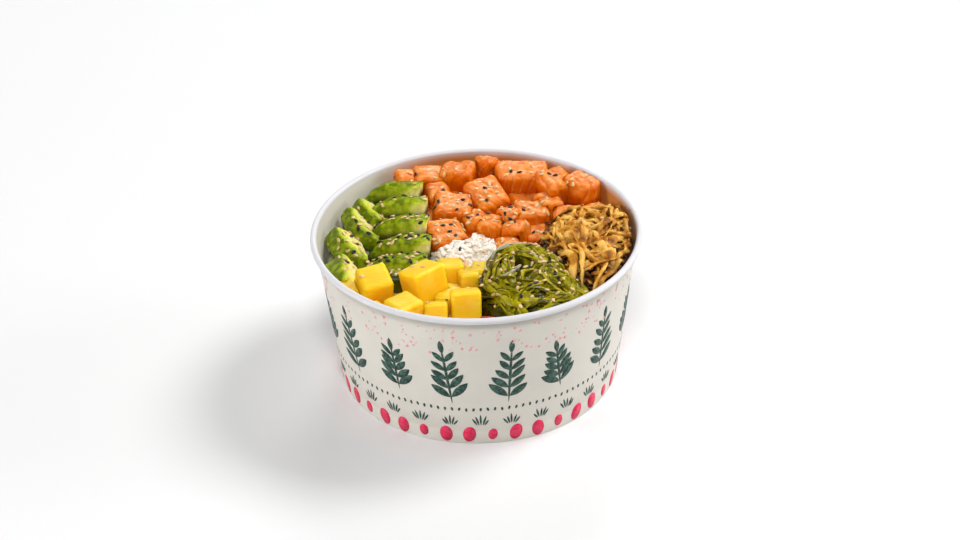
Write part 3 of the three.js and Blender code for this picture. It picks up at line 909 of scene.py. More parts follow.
class POKEBOWL_OT_rice(bpy.types.Operator):
    """Makes the bed of rice and the grains that show on it"""

    bl_idname = "poke_bowl.rice"
    bl_label = "Rice"

    def execute(self, context):
        food = context.scene.poke_bowl_food
        finish = rice_finish(food)
        bed = softened("rice", RICE_BED["fineness"], RICE_BED["rounds"])
        FOOD.soak_and_shade(bed, self.soaking_and_shading(bed))
        add_piece("rice_bed", bed, finish, "rice", "rice")
        stream = np.random.default_rng(RICE_SEED)
        places = gathered(food.rice_grains, 1, lambda: self.on_mound(stream))
        places += gathered(food.stray_grains, GAP_TRIES, lambda: self.in_gaps(stream))
        shapes = [grain_shape(stream) for _ in range(GRAIN["shapes"])]
        grains = copies(shapes, places)
        FOOD.soak_and_shade(grains, self.soaking_and_shading(grains))
        add_piece("rice_grains", grains, finish, "rice")
        return {"FINISHED"}

    @staticmethod
    def soaking_and_shading(mesh):
        """How much juice and painted shade the rice takes: hardly any on the mound, and a lot in the
        gaps.
        """
        reaches = np.hypot(*((corners(mesh)[:, :2] - MOUND["centre"]) / MOUND["reach"]).T)
        share = np.clip((reaches - SOAKED_AND_SHADED["from"]) / SOAKED_AND_SHADED["over"], 0, 1)
        return SOAKED_AND_SHADED["mound"] + share * (SOAKED_AND_SHADED["gaps"] - SOAKED_AND_SHADED["mound"])

    def on_mound(self, stream):
        spot = np.array(point_in_disc(MOUND["beyond"], stream))
        return self.settle(*(MOUND["centre"] + MOUND["reach"] * spot), stream, LYING["mound"])

    def in_gaps(self, stream):
        return self.settle(*point_in_disc(RICE_REACH, stream), stream, LYING["gaps"])

    @staticmethod
    def settle(x, y, stream, pile):
        """A grain's place over a point, or None where rice isn't uppermost."""
        owner, place, normal = FOOD_TOP.at(x, y)
        if owner != "rice":
            return None
        tilt = Matrix.Rotation(stream.normal(0, LYING["tilt"]), 4, "Y")
        raised = place + UP * stream.uniform(LYING["sunk"], pile) * MM
        heading = any_heading(stream)
        if math.hypot(x, y) > ALONG_WALL:
            heading = math.atan2(y, x) + math.pi / 2 + LYING["askew"] * math.sin(heading)
        matrix = lay(raised, normal.lerp(UP, LYING["level"]).normalized(), heading)
        return int(stream.integers(GRAIN["shapes"])), matrix @ tilt


# ---- Salmon and mango ----

# Waves are given as their height, their size and what each layer of them adds to the seed.
SALMON = {
    "fineness": 0.5, "rounds": 10, "seed": 100, "swell": 0.45,
    "waves": ((0.75, 6.5, 0), (0.3, 2.8, -100), (0.1, 1.2, -50)),
}
FLAKE = {"upright": 0.8, "bend": (0.02, 0.05), "uneven": 0.6, "size": 7, "start": 100}
FAT = {"spacing": 4.4, "half_width": 0.8, "core": 0.12, "groove": 0.28}
# Painted sheen on the tops: how far upwards a face looks where it starts to be pale and where it is
# palest, and how pale.
TOP_SHEEN = {"start": 0.45, "full": 0.92, "most": 0.75}
MANGO = {"fineness": 0.46, "rounds": 2, "seed": 200, "waves": ((0.12, 5, 0), (0.04, 1.4, 0))}


def nodes_named(start):
    return sorted(name for name in NODES if name.startswith(start))


def salmon_finish(food):
    """Raw flesh in flakes with faint lines of fat, a painted pale sheen on top and painted shade,
    deep orange, lower down.
    """
    finish = flesh(
        "salmon_flesh", 0.3, 3.5, (1.0, 0.38, 0.03), weight=0.6, Specular_IOR_Level=0.36,
        Specular_Tint=(1.0, 0.7, 0.36, 1.0),
    )
    body = finish.mottled(
        food.salmon, food.salmon_deep, share=0.6, size=11, start=0.38, end=0.62
    )
    body = finish.mottled(body, (0.80, 0.28, 0.006), share=0.3, size=0.9, start=0.45, end=0.8)
    # Painted shade: deeper orange lower down among the food
    body = finish.shaded(body, food.salmon_deep, start=3.0, end=9.0, share=0.75)
    between = finish.math("PINGPONG", finish.attribute("flake"), FAT["spacing"] / 2)
    line = finish.fade(between, FAT["half_width"], FAT["core"])
    fat = finish.math("MULTIPLY", line, finish.patches(5, 0.32, 0.62, 0.05, 0.4, detail=2))
    # Painted sheen: faces that look upwards turn paler, in patches
    sheen_patches = finish.patches(3.2, 0.36, 0.62, 0.2, 0.9)
    dewy = finish.math("MULTIPLY", finish.attribute("dewy"), sheen_patches)
    finish.paint(finish.mix(finish.math("MAXIMUM", fat, dewy), body, food.salmon_fat_and_sheen))
    finish.wet(size=3.5, low=0.24, high=0.42)
    finish.relief(0.8, 0.06)
    return finish


def mango_finish(food):
    """Firm juicy flesh with fine fibres."""
    finish = flesh(
        "mango_flesh", 0.36, 10.0, (1.0, 1.0, 0.05), weight=0.9, Specular_IOR_Level=0.25
    )
    fibres = finish.noise(1.1, stretch=(7, 1, 1), turn=(0.3, 0.5, 0.6))
    body = finish.mix(finish.fade(fibres, 0.42, 0.75, 0.0, 0.4), food.mango, food.mango_pale)
    ripe = {"size": 9, "start": 0.5, "end": 0.75, "detail": 2}
    body = finish.mottled(body, (0.93, 0.68, 0.09), share=0.5, **ripe)
    # Painted light: as the surface sinks among the food the flesh turns lighter and yellower,
    # lighting up the cubes' lower sides
    finish.paint(finish.shaded(body, (0.94, 0.60, 0.008), start=3.0, end=10.0, share=0.4))
    finish.wet(size=4, low=0.28, high=0.46)
    finish.relief(fibres, 0.035)
    return finish


class POKEBOWL_OT_salmon(bpy.types.Operator):
    """Makes each cube of salmon"""

    bl_idname = "poke_bowl.salmon"
    bl_label = "Salmon"

    def execute(self, context):
        finish = salmon_finish(context.scene.poke_bowl_food)
        for seed, node in enumerate(nodes_named("salmon_"), SALMON["seed"]):
            mesh = softened(node, SALMON["fineness"], SALMON["rounds"])
            flake = self.flakes(mesh, seed)
            between = FAT["spacing"] / 2 - np.abs(flake % FAT["spacing"] - FAT["spacing"] / 2)
            groove = FAT["groove"] * np.exp(-((between / FAT["half_width"]) ** 2))
            roughen(mesh, SALMON["waves"], seed, SALMON["swell"] - groove)
            # Painted sheen: how far each face looks upwards
            rise = (normals(mesh)[:, 2] - TOP_SHEEN["start"]) / (TOP_SHEEN["full"] - TOP_SHEEN["start"])
            store(mesh, "dewy", TOP_SHEEN["most"] * np.clip(rise, 0, 1))
            FOOD.sink(mesh)
            add_piece(f"{node}_cube", mesh, finish, "salmon", node)
        return {"FINISHED"}

    @staticmethod
    def flakes(mesh, seed):
        """Keeps how far each corner is across the cube's flakes, which lie in bent layers."""
        stream = np.random.default_rng(seed)
        points = corners(mesh)
        points -= points.mean(axis=0)
        across = stream.normal(size=3) * (1, 1, FLAKE["upright"])
        across /= np.linalg.norm(across)
        along = np.cross(across, stream.normal(size=3))
        along /= np.linalg.norm(along)
        bent = stream.uniform(*FLAKE["bend"]) * (points @ along) ** 2
        uneven = FLAKE["uneven"] * waves(points, FLAKE["size"], seed)
        flake = points @ across + bent + uneven + FLAKE["start"]
        store(mesh, "flake", flake)
        return flake


class POKEBOWL_OT_mango(bpy.types.Operator):
    """Makes each cube of mango"""

    bl_idname = "poke_bowl.mango"
    bl_label = "Mango"

    def execute(self, context):
        finish = mango_finish(context.scene.poke_bowl_food)
        for seed, node in enumerate(nodes_named("mango_"), MANGO["seed"]):
            mesh = softened(node, MANGO["fineness"], MANGO["rounds"])
            roughen(mesh, MANGO["waves"], seed)
            FOOD.sink(mesh)
            add_piece(f"{node}_cube", mesh, finish, "mango", node)
        return {"FINISHED"}


# ---- Avocado ----

# Each slice: the middle of its top on the stone's side, its width and height, its turn and its
# tip. The first five and the last two lie across the bowl, and the others against its wall.
AVOCADO = (
    ((-25.5, 45.5, 71), (28, 18), -16, -14),
    ((-23, 32, 70.5), (29, 18), -14, -12),
    ((-22, 18.5, 68.5), (29, 18), -12, -12),
    ((-21, 5, 66), (30, 18), -10, -10),
    ((-23, -6, 63), (30, 16), -8, -10),
    ((-56.5, 37.5, 66), (16, 13), 106, -52),
    ((-61.5, 31, 65), (21, 14), 103, -52),
    ((-67.5, 15, 64), (21, 15), 104, -50),
    ((-65.5, -5, 61.5), (23, 16), 86, -38),
    ((-28, -15, 60), (28, 14), -4, -8),
    ((-47, 50, 62), (20, 13), 30, -20),
)
ACROSS = (0, 1, 2, 3, 4, 9, 10)  # the places in the list of those that lie across
SLICE = {
    "fineness": 0.5, "rounds": 6, "seed": 300, "roundness": 2.5, "swell": 0.15,
    "waves": ((0.32, 4.5, 0), (0.18, 2.2, 50), (0.07, 1.1, 0)),
}
# What the depth of the flesh is multiplied by, where less is greener, and a share of its shade.
ACROSS_DEPTH, LEANING_DEPTH = 0.5, 1.6
ACROSS_SHADE, LEANING_SHADE = 1.0, 0.5
# How near the stone's side the flesh turns buttery, what that adds, and how deep it is in full.
HEART = {"from": 7, "to": 1.5, "deeper": 7, "full": 3}
RIPE_DEPTH = 10.0


def within_slice(points, spec):
    """How far points lie under a slice's rounded outside and from its stone's side, in mm."""
    top, (width, height), turn, tip = spec
    tilt = Matrix.Rotation(math.radians(turn), 3, "Z") @ Matrix.Rotation(math.radians(tip), 3, "X")
    local = (points - np.array(top)) @ np.array(tilt)
    across = np.clip(-local[:, 0] / width, 0, None)
    upright = np.clip((local[:, 2] + height) / height, 0, None)
    power = SLICE["roundness"]
    depth = (1 - (across**power + upright**power) ** (1 / power)) * height
    return depth, across * width


def avocado_finish(food):
    """Ripe flesh: green under the skin, and paler to buttery towards the stone."""
    finish = flesh("avocado_flesh", 0.36, 1.8, (1.0, 1.0, 0.15), Specular_IOR_Level=0.2)
    uneven = finish.patches(3.0, 0.3, 0.7, low=-1.0, high=1.0, detail=4)
    depth = finish.math("ADD", finish.attribute("depth"), uneven)
    stops = (
        (0.0, food.avocado_rim),
        (0.07, (0.26, 0.34, 0.004)),
        (0.20, (0.42, 0.48, 0.02)),
        (0.45, (0.68, 0.67, 0.10)),
        (0.85, food.avocado_heart),
    )
    body = finish.ramp(finish.math("DIVIDE", depth, RIPE_DEPTH), stops)
    bruise = {"size": 2.2, "start": 0.55, "end": 0.8, "detail": 4}
    body = finish.mottled(body, (0.09, 0.14, 0.002), share=0.5, **bruise)
    # Painted shade: nearly black where the slices sink among the food, in the gaps between them
    finish.paint(finish.shaded(body, (0.025, 0.035, 0.001), start=3.2, end=7.0, share=0.93))
    finish.wet(size=4, low=0.24, high=0.46)
    finish.relief(1.3, 0.1)
    return finish


class POKEBOWL_OT_avocado(bpy.types.Operator):
    """Makes each slice of avocado"""

    bl_idname = "poke_bowl.avocado"
    bl_label = "Avocado"

    def execute(self, context):
        finish = avocado_finish(context.scene.poke_bowl_food)
        for index, (node, spec) in enumerate(zip(nodes_named("avocado_"), AVOCADO, strict=True)):
            mesh = softened(node, SLICE["fineness"], SLICE["rounds"])
            depth, aside = within_slice(corners(mesh), spec)
            if index in ACROSS:
                near = np.clip((HEART["from"] - aside) / (HEART["from"] - HEART["to"]), 0, 1)
                buttery = near * HEART["deeper"] * np.clip(depth / HEART["full"], 0, 1)
                depth = depth * ACROSS_DEPTH + buttery
            else:
                depth = depth * LEANING_DEPTH
            store(mesh, "depth", depth)
            roughen(mesh, SLICE["waves"], SLICE["seed"] + index, SLICE["swell"])
            FOOD.sink(mesh, ACROSS_SHADE if index in ACROSS else LEANING_SHADE)
            add_piece(f"{node}_slice", mesh, finish, "avocado", node)
        return {"FINISHED"}


# ---- Heaps of strips ----

# Each heap: its node and slot, its core, and the ranges, means and spreads of its strips.
SEAWEED = {
    "node": "seaweed_salad", "slot": "seaweed", "seed": 41,
    "rounds": 3, "core": ((0.35, 2.2, 0),), "swell": -0.5, "waves": ((0.12, 1.6, 0),),
    "length": (14, 32), "step": 2.2, "curl": 0.12, "wander": 0.18, "heading": (0, 180),
    "lift": (0.2, 2.6), "climb": 1.6, "leaving": 0.15,
    "width": 2.5, "thickness": 0.9, "twist": 1.8, "sizes": (0.55, 1.3), "uneven": 0.22,
}
ONION = {
    "node": "crispy_onion", "slot": "onion", "seed": 44,
    "rounds": 2, "core": ((0.5, 2.0, 0),), "swell": -0.8,
    "waves": ((0.18, 1.3, -43), (0.12, 0.7, -42)),
    "length": (12, 38), "step": 1.6, "curl": 0.05, "wander": 0.14, "heading": (-54, 28),
    "lift": (0.3, 5.2), "climb": 4.0, "leaving": 0.25,
    "width": 3.1, "thickness": 1.35, "twist": 1.6, "sizes": (0.5, 1.35), "uneven": 0.2,
}
# All strips: how far they are raised, in their thicknesses, how far they are twisted at the
# start, how wide their ends are and how fast they widen, and how finely they are made.
STRIP = {
    "rise": 0.25, "start": 0.6, "end_width": 0.3, "widening": 5,
    "sides": 8, "order": 4, "fewest_steps": 4,
}
HEAP_TRIES = 60  # for each strip or crumb
CRUMB = {
    "radius": (0.6, 1.7), "raised": (-0.2, 2.6), "margin": 0.6, "steep": 0.6, "lowest": 55,
    "ripples": 6, "ripple": 0.35, "size": (1.3, 1, 0.55), "shapes": 6, "seed": 43,
}
CORE_FINENESS = 0.9
BOWL_CLEARANCE = 1.2
STRIP_KINDS = (("dark", 0.3), ("olive", 0.66), ("clear", 0.04))


def wandering(kind, start, stream):
    """A curling path in plan from its middle, in millimetres."""
    long = stream.uniform(*kind["length"])
    steps = max(STRIP["fewest_steps"], round(long / kind["step"]))
    mean, spread = kind["heading"]
    heading = math.radians(stream.normal(mean, spread))
    curl = stream.normal(0, kind["curl"])
    path = [np.zeros(2)]
    for _ in range(steps):
        heading += curl + stream.normal(0, kind["wander"])
        path.append(path[-1] + long / steps * np.array((math.cos(heading), math.sin(heading))))
    return np.array(path) - np.mean(path, axis=0) + start


def strip_path(kind, box, bowl, stream):
    """A strip's points over its heap in millimetres, or None where it would leave the heap."""
    plan = wandering(kind, stream.uniform(*box), stream)
    lift = stream.uniform(*kind["lift"])
    points, left, last = [], 0, None
    for index, (x, y) in enumerate(plan):
        owner, place, _ = FOOD_TOP.at(x, y)
        if owner is None:
            return None
        height = place.z / MM
        left += owner != kind["node"]
        outside = math.hypot(x, y) + BOWL_CLEARANCE > inside_radius(bowl, place.z) / MM
        jump = index and abs(height - last) > kind["climb"]
        if outside or jump or left > kind["leaving"] * len(plan):
            return None
        arch = lift * math.sin(math.pi * index / (len(plan) - 1))
        points.append((x, y, height + (arch + kind["thickness"] * STRIP["rise"])))
        last = height
    return points


def strip_section(width, thickness):
    """The rounded section of a strip, as a closed curve."""
    curve = bpy.data.curves.new("section", "CURVE")
    spline = curve.splines.new("POLY")
    spline.points.add(STRIP["sides"] - 1)
    for index, point in enumerate(spline.points):
        angle = 2 * math.pi * index / STRIP["sides"]
        point.co = (width / 2 * math.cos(angle) * MM, thickness / 2 * math.sin(angle) * MM, 0, 1)
    spline.use_cyclic_u = True
    return curve


def strips_mesh(paths, kind, stream):
    """Sweeps a flat section along each path, with a twist and narrower ends."""
    bevel = strip_section(kind["width"], kind["thickness"])
    section = bpy.data.objects.new("section", bevel)
    curve = bpy.data.curves.new("strips", "CURVE")
    curve.dimensions = "3D"
    curve.bevel_mode = "OBJECT"
    curve.bevel_object = section
    curve.use_fill_caps = True
    curve.resolution_u = 2
    for path in paths:
        spline = curve.splines.new("NURBS")
        spline.points.add(len(path) - 1)
        twist = stream.normal(0, kind["twist"])
        start = stream.uniform(-STRIP["start"], STRIP["start"])
        size = stream.uniform(*kind["sizes"])
        for index, (point, place) in enumerate(zip(spline.points, path)):
            share = index / (len(path) - 1)
            point.co = (*(MM * axis for axis in place), 1)
            point.tilt = start + twist * share
            blunt = min(1.0, STRIP["end_width"] + STRIP["widening"] * share * (1 - share))
            point.radius = size * blunt * (1 + kind["uneven"] * stream.uniform(-1, 1))
        spline.order_u = STRIP["order"]
        spline.use_endpoint_u = True
    swept = bpy.data.objects.new("strips", curve)
    for bench in (section, swept):
        bpy.context.scene.collection.objects.link(bench)
    mesh = evaluated(swept)
    bpy.data.objects.remove(section)
    for data in (curve, bevel):
        bpy.data.curves.remove(data)
    bm = bmesh.new()
    bm.from_mesh(mesh)
    bmesh.ops.remove_doubles(bm, verts=bm.verts, dist=TOUCHING)
    bmesh.ops.recalc_face_normals(bm, faces=bm.faces)
    bpy.data.meshes.remove(mesh)
    return mesh_of(bm)


def add_core(kind, name, finish):
    """Adds a heap's core, which lies a little under its strips."""
    core = softened(kind["node"], CORE_FINENESS, kind["rounds"])
    roughen(core, kind["core"], kind["seed"], kind["swell"])
    FOOD.sink(core)
    add_piece(name, core, finish, kind["slot"], kind["node"])
    return core


def add_strips(kind, name, wanted, finish, bowl, stream):
    """Adds as many strips over a heap as are wanted."""
    box = plan_box(kind["node"])
    paths = gathered(wanted, HEAP_TRIES, lambda: strip_path(kind, box, bowl, stream), name)
    mesh = strips_mesh(paths, kind, stream)
    roughen(mesh, kind["waves"], kind["seed"])
    FOOD.sink(mesh)
    add_piece(name, mesh, finish, kind["slot"])


def seaweed_finish(name, shade, bright, weight):
    """Wet seaweed that light shines through at its thin edges."""
    finish = flesh(name, 0.25, 1.2, (1.0, 0.9, 0.1), weight=weight, Specular_IOR_Level=0.2)
    body = finish.mottled(shade, bright, size=2.6, start=0.35, end=0.7)
    # Painted shade: nearly black where the strips sink among the food
    finish.paint(finish.shaded(body, (0.022, 0.022, 0.001), start=0.5, end=4.5, share=0.85))
    finish.wet(size=2.5, low=0.18, high=0.42)
    finish.relief(0.9, 0.1)
    return finish


def onion_finish(food, name, darker):
    """Oily fried crust in patches, from dark brown to pale gold; darker moves it to the brown."""
    finish = flesh(name, 0.45, 0.8, (1.0, 0.5, 0.1), weight=0.15)
    stops = (
        (0.24 + darker, food.onion_dark),
        (0.37 + darker, (0.34, 0.12, 0.007)),
        (0.47 + darker, food.onion),
        (0.60 + darker, (0.82, 0.48, 0.10)),
    )
    body = finish.ramp(finish.noise(5.5, detail=5), stops)
    # Painted shade: dark brown where the shreds lie low under the heap's top
    finish.paint(finish.shaded(body, (0.05, 0.011, 0.001), start=-3.0, end=2.2, share=0.93))
    finish.wet(size=1.5, low=0.34, high=0.62)
    finish.relief(0.5, 0.14, detail=4)
    return finish


class POKEBOWL_OT_seaweed(bpy.types.Operator):
    """Makes the seaweed salad: a dark core and the strips tangled over it"""

    bl_idname = "poke_bowl.seaweed"
    bl_label = "Seaweed Salad"

    def execute(self, context):
        food, bowl = context.scene.poke_bowl_food, context.scene.poke_bowl_paper
        stream = np.random.default_rng(SEAWEED["seed"])
        dark, olive = (tuple(lit * channel for channel in food.seaweed) for lit in (0.32, 2.0))
        looks = {
            "dark": (dark, food.seaweed, 0.15),
            "olive": (food.seaweed, olive, 0.3),
            "clear": ((0.33, 0.34, 0.27), (0.5, 0.5, 0.42), 0.6),
        }
        finishes = {kind: seaweed_finish(f"seaweed_{kind}", *look) for kind, look in looks.items()}
        add_core(SEAWEED, "seaweed_core", finishes["dark"])
        for kind, share in STRIP_KINDS:
            name, wanted = f"seaweed_strips_{kind}", round(share * food.seaweed_strips)
            add_strips(SEAWEED, name, wanted, finishes[kind], bowl, stream)
        return {"FINISHED"}


class POKEBOWL_OT_onion(bpy.types.Operator):
    """Makes the crispy onion: a core, the curled shreds piled over it and loose crumbs"""

    bl_idname = "poke_bowl.onion"
    bl_label = "Crispy Onion"

    def execute(self, context):
        food, bowl = context.scene.poke_bowl_food, context.scene.poke_bowl_paper
        stream = np.random.default_rng(ONION["seed"])
        core = add_core(ONION, "onion_core", onion_finish(food, "onion_core", darker=0.2))
        crust = onion_finish(food, "onion_crust", darker=0)
        add_strips(ONION, "onion_shreds", food.onion_shreds, crust, bowl, stream)
        crumbs = self.crumbs(food.onion_crumbs, core, bowl)
        FOOD.sink(crumbs)
        add_piece("onion_crumbs", crumbs, crust, "onion")
        return {"FINISHED"}

    @staticmethod
    def crumb_shape(stream):
        """A rough flat lump of fried crust."""
        bm = bmesh.new()
        bmesh.ops.create_icosphere(bm, subdivisions=2, radius=1)
        heading = Vector(stream.normal(size=3))
        for vertex in bm.verts:
            ripple = math.sin(CRUMB["ripples"] * vertex.co.dot(heading))
            swell = 1 + CRUMB["ripple"] * ripple
            vertex.co = [axis * swell * size for axis, size in zip(vertex.co, CRUMB["size"])]
        return small_shape(bm)

    def crumbs(self, wanted, core, bowl):
        """Crumbs that lie on and between the shreds, and as many on the heap's steep sides."""
        stream = np.random.default_rng(CRUMB["seed"])
        shapes = [self.crumb_shape(stream) for _ in range(CRUMB["shapes"])]
        steep = [
            vertex.index
            for vertex in core.vertices
            if abs(vertex.normal.z) < CRUMB["steep"] and vertex.co.z > CRUMB["lowest"] * MM
        ]
        box = plan_box(ONION["node"])
        on_top = (wanted, HEAP_TRIES, lambda: self.on_top(box, bowl, stream), "onion_crumbs")
        places = gathered(*on_top)
        for index in stream.choice(steep, wanted, replace=False):
            place, radius = core.vertices[index].co, stream.uniform(*CRUMB["radius"])
            if self.fits(place, radius, bowl):
                places.append(self.crumb(place, radius, stream))
        return copies(shapes, places)

    @staticmethod
    def fits(place, radius, bowl):
        """Whether a crumb at a place stays clear of the bowl's wall."""
        reach = math.hypot(place.x, place.y) / MM + radius + CRUMB["margin"]
        return reach <= inside_radius(bowl, place.z) / MM

    @staticmethod
    def crumb(place, radius, stream):
        """A crumb at a place, turned at random."""
        turn = Matrix.Rotation(stream.uniform(0, math.pi), 4, Vector(stream.normal(size=3)))
        matrix = Matrix.Translation(place) @ turn @ Matrix.Scale(radius, 4)
        return int(stream.integers(CRUMB["shapes"])), matrix

    def on_top(self, box, bowl, stream):
        """A crumb over a random point of the heap, or None where there is no room."""
        owner, place, normal = FOOD_TOP.at(*stream.uniform(*box))
        if owner != ONION["node"]:
            return None
        radius = stream.uniform(*CRUMB["radius"])
        if not self.fits(place, radius, bowl):
            return None
        return self.crumb(place + normal * stream.uniform(*CRUMB["raised"]) * MM, radius, stream)


# ---- Chilli and sesame ----

CHILLI = {"fineness": 0.25, "rounds": 8, "seed": 51, "waves": ((0.18, 2.2, 0),)}
SEED = {
    "length": 2.6, "width": 1.6, "thickness": 0.85, "sizes": (0.9, 1.1), "taper": 0.55,
    "plump": 0.05, "sides": 10, "rings": 8, "shapes": 5,
}
# How far out seeds lie, how far apart, on what slopes, how tilted and how far raised.
SCATTER = {
    "reach": 63, "spacing": 1.7, "steepest": 0.35, "tilt": 0.14, "raised": (0.1, 0.35),
    "tries": 400, "seed": 61,
}
# How thickly the seeds lie on each topping, from 0 to 1.
SEED_SHARES = {
    "avocado": 0.85, "salmon": 0.42, "seaweed": 0.6, "mango": 0.1, "rice": 0.06, "onion": 0.05,
}
# Where they lie most thickly: a middle, a reach and how much more than everywhere else.
SEED_EVERYWHERE = 0.35
SEED_PATCHES = (((-36, 4), 16, 1.7), ((8, 26), 18, 0.9), ((24, -22), 16, 1.1))


def seed_shape(stream):
    """A sesame seed: a flat drop, plump in the middle."""
    bm = bmesh.new()
    bmesh.ops.create_uvsphere(bm, u_segments=SEED["sides"], v_segments=SEED["rings"], radius=0.5)
    size = stream.uniform(*SEED["sizes"])
    long, wide, thick = (size * SEED[key] for key in ("length", "width", "thickness"))
    for vertex in bm.verts:
        across, deep, along = vertex.co
        taper = 1 - SEED["taper"] * max(0, along + SEED["plump"])
        vertex.co = (along * long, across * wide * taper, deep * thick * taper)
    return small_shape(bm)


def seed_finish(name, shade, other, roughness):
    finish = Finish(name, roughness, Specular_IOR_Level=0.3)
    finish.paint(finish.mottled(shade, other, size=1.8, start=0.4, end=0.65))
    finish.relief(0.25, 0.03)
    return finish


class POKEBOWL_OT_chilli(bpy.types.Operator):
    """Makes the curl of chilli by the wall"""

    bl_idname = "poke_bowl.chilli"
    bl_label = "Chilli"

    def execute(self, context):
        food = context.scene.poke_bowl_food
        finish = flesh("chilli_flesh", 0.2, 0.8, (1.0, 0.15, 0.05), weight=0.2)
        body = finish.mottled(food.chilli, (0.42, 0.035, 0.006), size=2.5, start=0.4, end=0.7)
        finish.paint(body)
        finish.relief(1.0, 0.06, detail=2)
        mesh = softened("chilli", CHILLI["fineness"], CHILLI["rounds"])
        roughen(mesh, CHILLI["waves"], CHILLI["seed"])
        add_piece("chilli_curl", mesh, finish, "chilli", "chilli")
        return {"FINISHED"}


class POKEBOWL_OT_sesame(bpy.types.Operator):
    """Scatters black and toasted sesame seeds over the toppings"""

    bl_idname = "poke_bowl.sesame"
    bl_label = "Sesame"

    def execute(self, context):
        food = context.scene.poke_bowl_food
        stream = np.random.default_rng(SCATTER["seed"])
        kinds = (
            ("sesame_black", food.black_seeds, (0.008, 0.008, 0.01), (0.03, 0.028, 0.03), 0.35),
            ("sesame_toasted", food.toasted_seeds, (0.80, 0.56, 0.29), (0.62, 0.36, 0.15), 0.45),
        )
        taken = []
        for name, wanted, shade, other, roughness in kinds:
            shapes = [seed_shape(stream) for _ in range(SEED["shapes"])]
            depsgraph = context.evaluated_depsgraph_get()
            places = gathered(
                wanted,
                SCATTER["tries"],
                lambda: self.settle(context.scene, depsgraph, taken, stream),
                name,
            )
            finish = seed_finish(name, shade, other, roughness)
            add_piece(f"{name}_seeds", copies(shapes, places), finish, name)
        return {"FINISHED"}

    @staticmethod
    def share_at(piece_name, x, y):
        """How likely a seed is to stay on what is uppermost at a point."""
        kind = piece_name.split("_")[0]
        patches = sum(
            more * math.exp(-((x - at[0]) ** 2 + (y - at[1]) ** 2) / (2 * reach**2))
            for at, reach, more in SEED_PATCHES
        )
        return SEED_SHARES.get(kind, 0) * (SEED_EVERYWHERE + patches)

    def settle(self, scene, depsgraph, taken, stream):
        """A seed on the finished food, clear of the seeds already taken, or None."""
        x, y = point_in_disc(SCATTER["reach"], stream)
        above = Vector((x * MM, y * MM, ABOVE))
        found, place, normal, _, piece, _ = scene.ray_cast(depsgraph, above, DOWN)
        share = self.share_at(piece.name, above.x / MM, above.y / MM) if found else 0
        if stream.random() > share or normal.z < SCATTER["steepest"]:
            return None
        if any((place - other).length < SCATTER["spacing"] * MM for other in taken):
            return None
        taken.append(place.copy())
        tilted = (normal + Vector(stream.normal(0, SCATTER["tilt"], 3))).normalized()
        raised = place + normal * stream.uniform(*SCATTER["raised"]) * MM
        matrix = lay(raised, tilted, any_heading(stream))
        return int(stream.integers(SEED["shapes"])), matrix


# ---- The stage ----

VIEW_ELEVATION = 33.04
VIEW_ROLL = -1.4
SENSOR = 36
FOCAL_LENGTH = 81.56
CLIPPING = (0.05, 20)  # metres, the nearest and farthest that the camera sees
IMAGE_WIDTH = 960
AIM_PIXELS = (-2.1, -25.3)  # where the aim lies from the middle of the image
# The strength of the studio's glow at the horizon and overhead, and how high, as the sine of the
# elevation, the first ends and the second starts.
GLOW = {"horizon": 0.8, "overhead": 0.06, "ends": 0.09, "starts": 0.16}
FLOOR_SIDES = 160
FLOOR_SHADES = ((0.74, 0.74, 0.74), (0.75, 0.75, 0.75))
# Each light: the direction that it comes from, its distance and size in metres, and its power.
LIGHTS = {
    "key": ((0.92, 0.4, 1.15), 3.6, 1.35, 89),
    "right": ((1.0, 0.1, 0.26), 3.2, 1.4, 36),
    "left": ((-1.0, -0.2, 0.24), 3.2, 1.2, 52),
    "front": ((-0.05, -0.84, 1.26), 3.6, 0.96, 72),
    "back": ((0.12, 1.0, 0.72), 2.8, 1.0, 20),
}


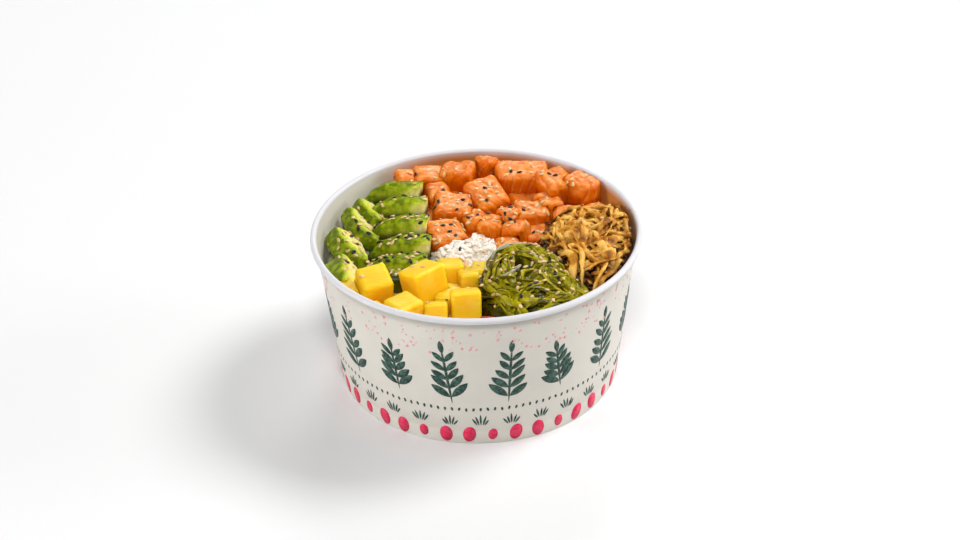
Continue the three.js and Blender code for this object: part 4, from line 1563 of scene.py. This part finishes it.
class POKEBOWL_OT_stage(bpy.types.Operator):
    """Makes the pale floor, the soft light and the camera"""

    bl_idname = "poke_bowl.stage"
    bl_label = "Stage"

    def execute(self, context):
        stage = context.scene.poke_bowl_stage
        self.floor(stage)
        self.world(context.scene)
        for name, light in LIGHTS.items():
            self.light(name, *light, stage.aim_height)
        self.camera(context.scene, stage)
        context.scene.view_settings.view_transform = "Standard"
        return {"FINISHED"}

    @staticmethod
    def floor(stage):
        bm = bmesh.new()
        bmesh.ops.create_circle(
            bm, cap_ends=True, segments=FLOOR_SIDES, radius=stage.floor_size / 2
        )
        finish = Finish("floor_white", 0.7)
        finish.paint(finish.mix(finish.noise(400, detail=2), *FLOOR_SHADES))
        floor = bpy.data.objects.new("floor", mesh_of(bm))
        floor.data.materials.append(finish.material)
        bpy.context.scene.collection.objects.link(floor)

    @staticmethod
    def world(scene):
        scene.world = bpy.data.worlds.new("studio")
        scene.world.use_nodes = True
        tree = scene.world.node_tree
        background = tree.nodes["Background"]
        background.inputs["Color"].default_value = (1, 1, 1, 1)
        direction = tree.nodes.new("ShaderNodeTexCoord")
        height = tree.nodes.new("ShaderNodeSeparateXYZ")
        fade = tree.nodes.new("ShaderNodeMapRange")
        for socket, key in enumerate(("ends", "starts", "horizon", "overhead"), start=1):
            fade.inputs[socket].default_value = GLOW[key]
        tree.links.new(direction.outputs["Generated"], height.inputs[0])
        tree.links.new(height.outputs["Z"], fade.inputs[0])
        tree.links.new(fade.outputs[0], background.inputs["Strength"])

    @staticmethod
    def light(name, direction, distance, size, power, aim_height):
        data = bpy.data.lights.new(name, "AREA")
        data.shape = "DISK"
        data.size = size
        data.energy = power
        light = bpy.data.objects.new(name, data)
        towards = Vector(direction).normalized()
        light.location = towards * distance + Vector((0, 0, aim_height))
        light.rotation_euler = towards.to_track_quat("Z", "Y").to_euler()
        bpy.context.scene.collection.objects.link(light)

    @staticmethod
    def camera(scene, stage):
        data = bpy.data.cameras.new("camera")
        data.sensor_width = SENSOR
        data.lens = FOCAL_LENGTH
        data.clip_start, data.clip_end = CLIPPING
        camera = bpy.data.objects.new("camera", data)
        elevation = math.radians(VIEW_ELEVATION)
        forward = Vector((0, math.cos(elevation), -math.sin(elevation)))
        facing = forward.to_track_quat("-Z", "Y").to_matrix()
        roll = Matrix.Rotation(math.radians(VIEW_ROLL), 3, "Z")
        pixels = IMAGE_WIDTH * FOCAL_LENGTH / SENSOR
        aside = Vector((*AIM_PIXELS, -pixels)).rotation_difference(Vector((0, 0, -1)))
        rotation = (facing @ roll @ aside.to_matrix()).to_4x4()
        aim = Vector((0, 0, stage.aim_height))
        camera.matrix_world = Matrix.Translation(aim - forward * stage.distance) @ rotation
        scene.collection.objects.link(camera)
        scene.camera = camera


# ---- The add-on ----

OPERATORS = (
    POKEBOWL_OT_stage,
    POKEBOWL_OT_paper_bowl,
    POKEBOWL_OT_print,
    POKEBOWL_OT_rice,
    POKEBOWL_OT_salmon,
    POKEBOWL_OT_mango,
    POKEBOWL_OT_avocado,
    POKEBOWL_OT_seaweed,
    POKEBOWL_OT_onion,
    POKEBOWL_OT_chilli,
    POKEBOWL_OT_sesame,
)
SETTINGS = {
    "poke_bowl_paper": PaperBowlSettings,
    "poke_bowl_food": FoodSettings,
    "poke_bowl_stage": StageSettings,
}


class POKEBOWL_PT_sidebar(bpy.types.Panel):
    """Lists the steps that make the bowl, in their order"""

    bl_idname = "POKEBOWL_PT_sidebar"
    bl_label = "Poke Bowl"
    bl_space_type = "VIEW_3D"
    bl_region_type = "UI"
    bl_category = "Poke Bowl"

    def draw(self, context):
        for operator in OPERATORS:
            self.layout.operator(operator.bl_idname)
        for name, settings in SETTINGS.items():
            box = self.layout.box()
            for setting in settings.__annotations__:
                box.prop(getattr(context.scene, name), setting)


def register():
    for name, settings in SETTINGS.items():
        bpy.utils.register_class(settings)
        setattr(bpy.types.Scene, name, PointerProperty(type=settings))
    for cls in (*OPERATORS, POKEBOWL_PT_sidebar):
        bpy.utils.register_class(cls)


def unregister():
    for cls in (POKEBOWL_PT_sidebar, *reversed(OPERATORS)):
        bpy.utils.unregister_class(cls)
    for name, settings in SETTINGS.items():
        delattr(bpy.types.Scene, name)
        bpy.utils.unregister_class(settings)


def main():
    register()
    for operator in OPERATORS:
        group, name = operator.bl_idname.split(".")
        getattr(getattr(bpy.ops, group), name)()


if __name__ == "__main__":
    main()
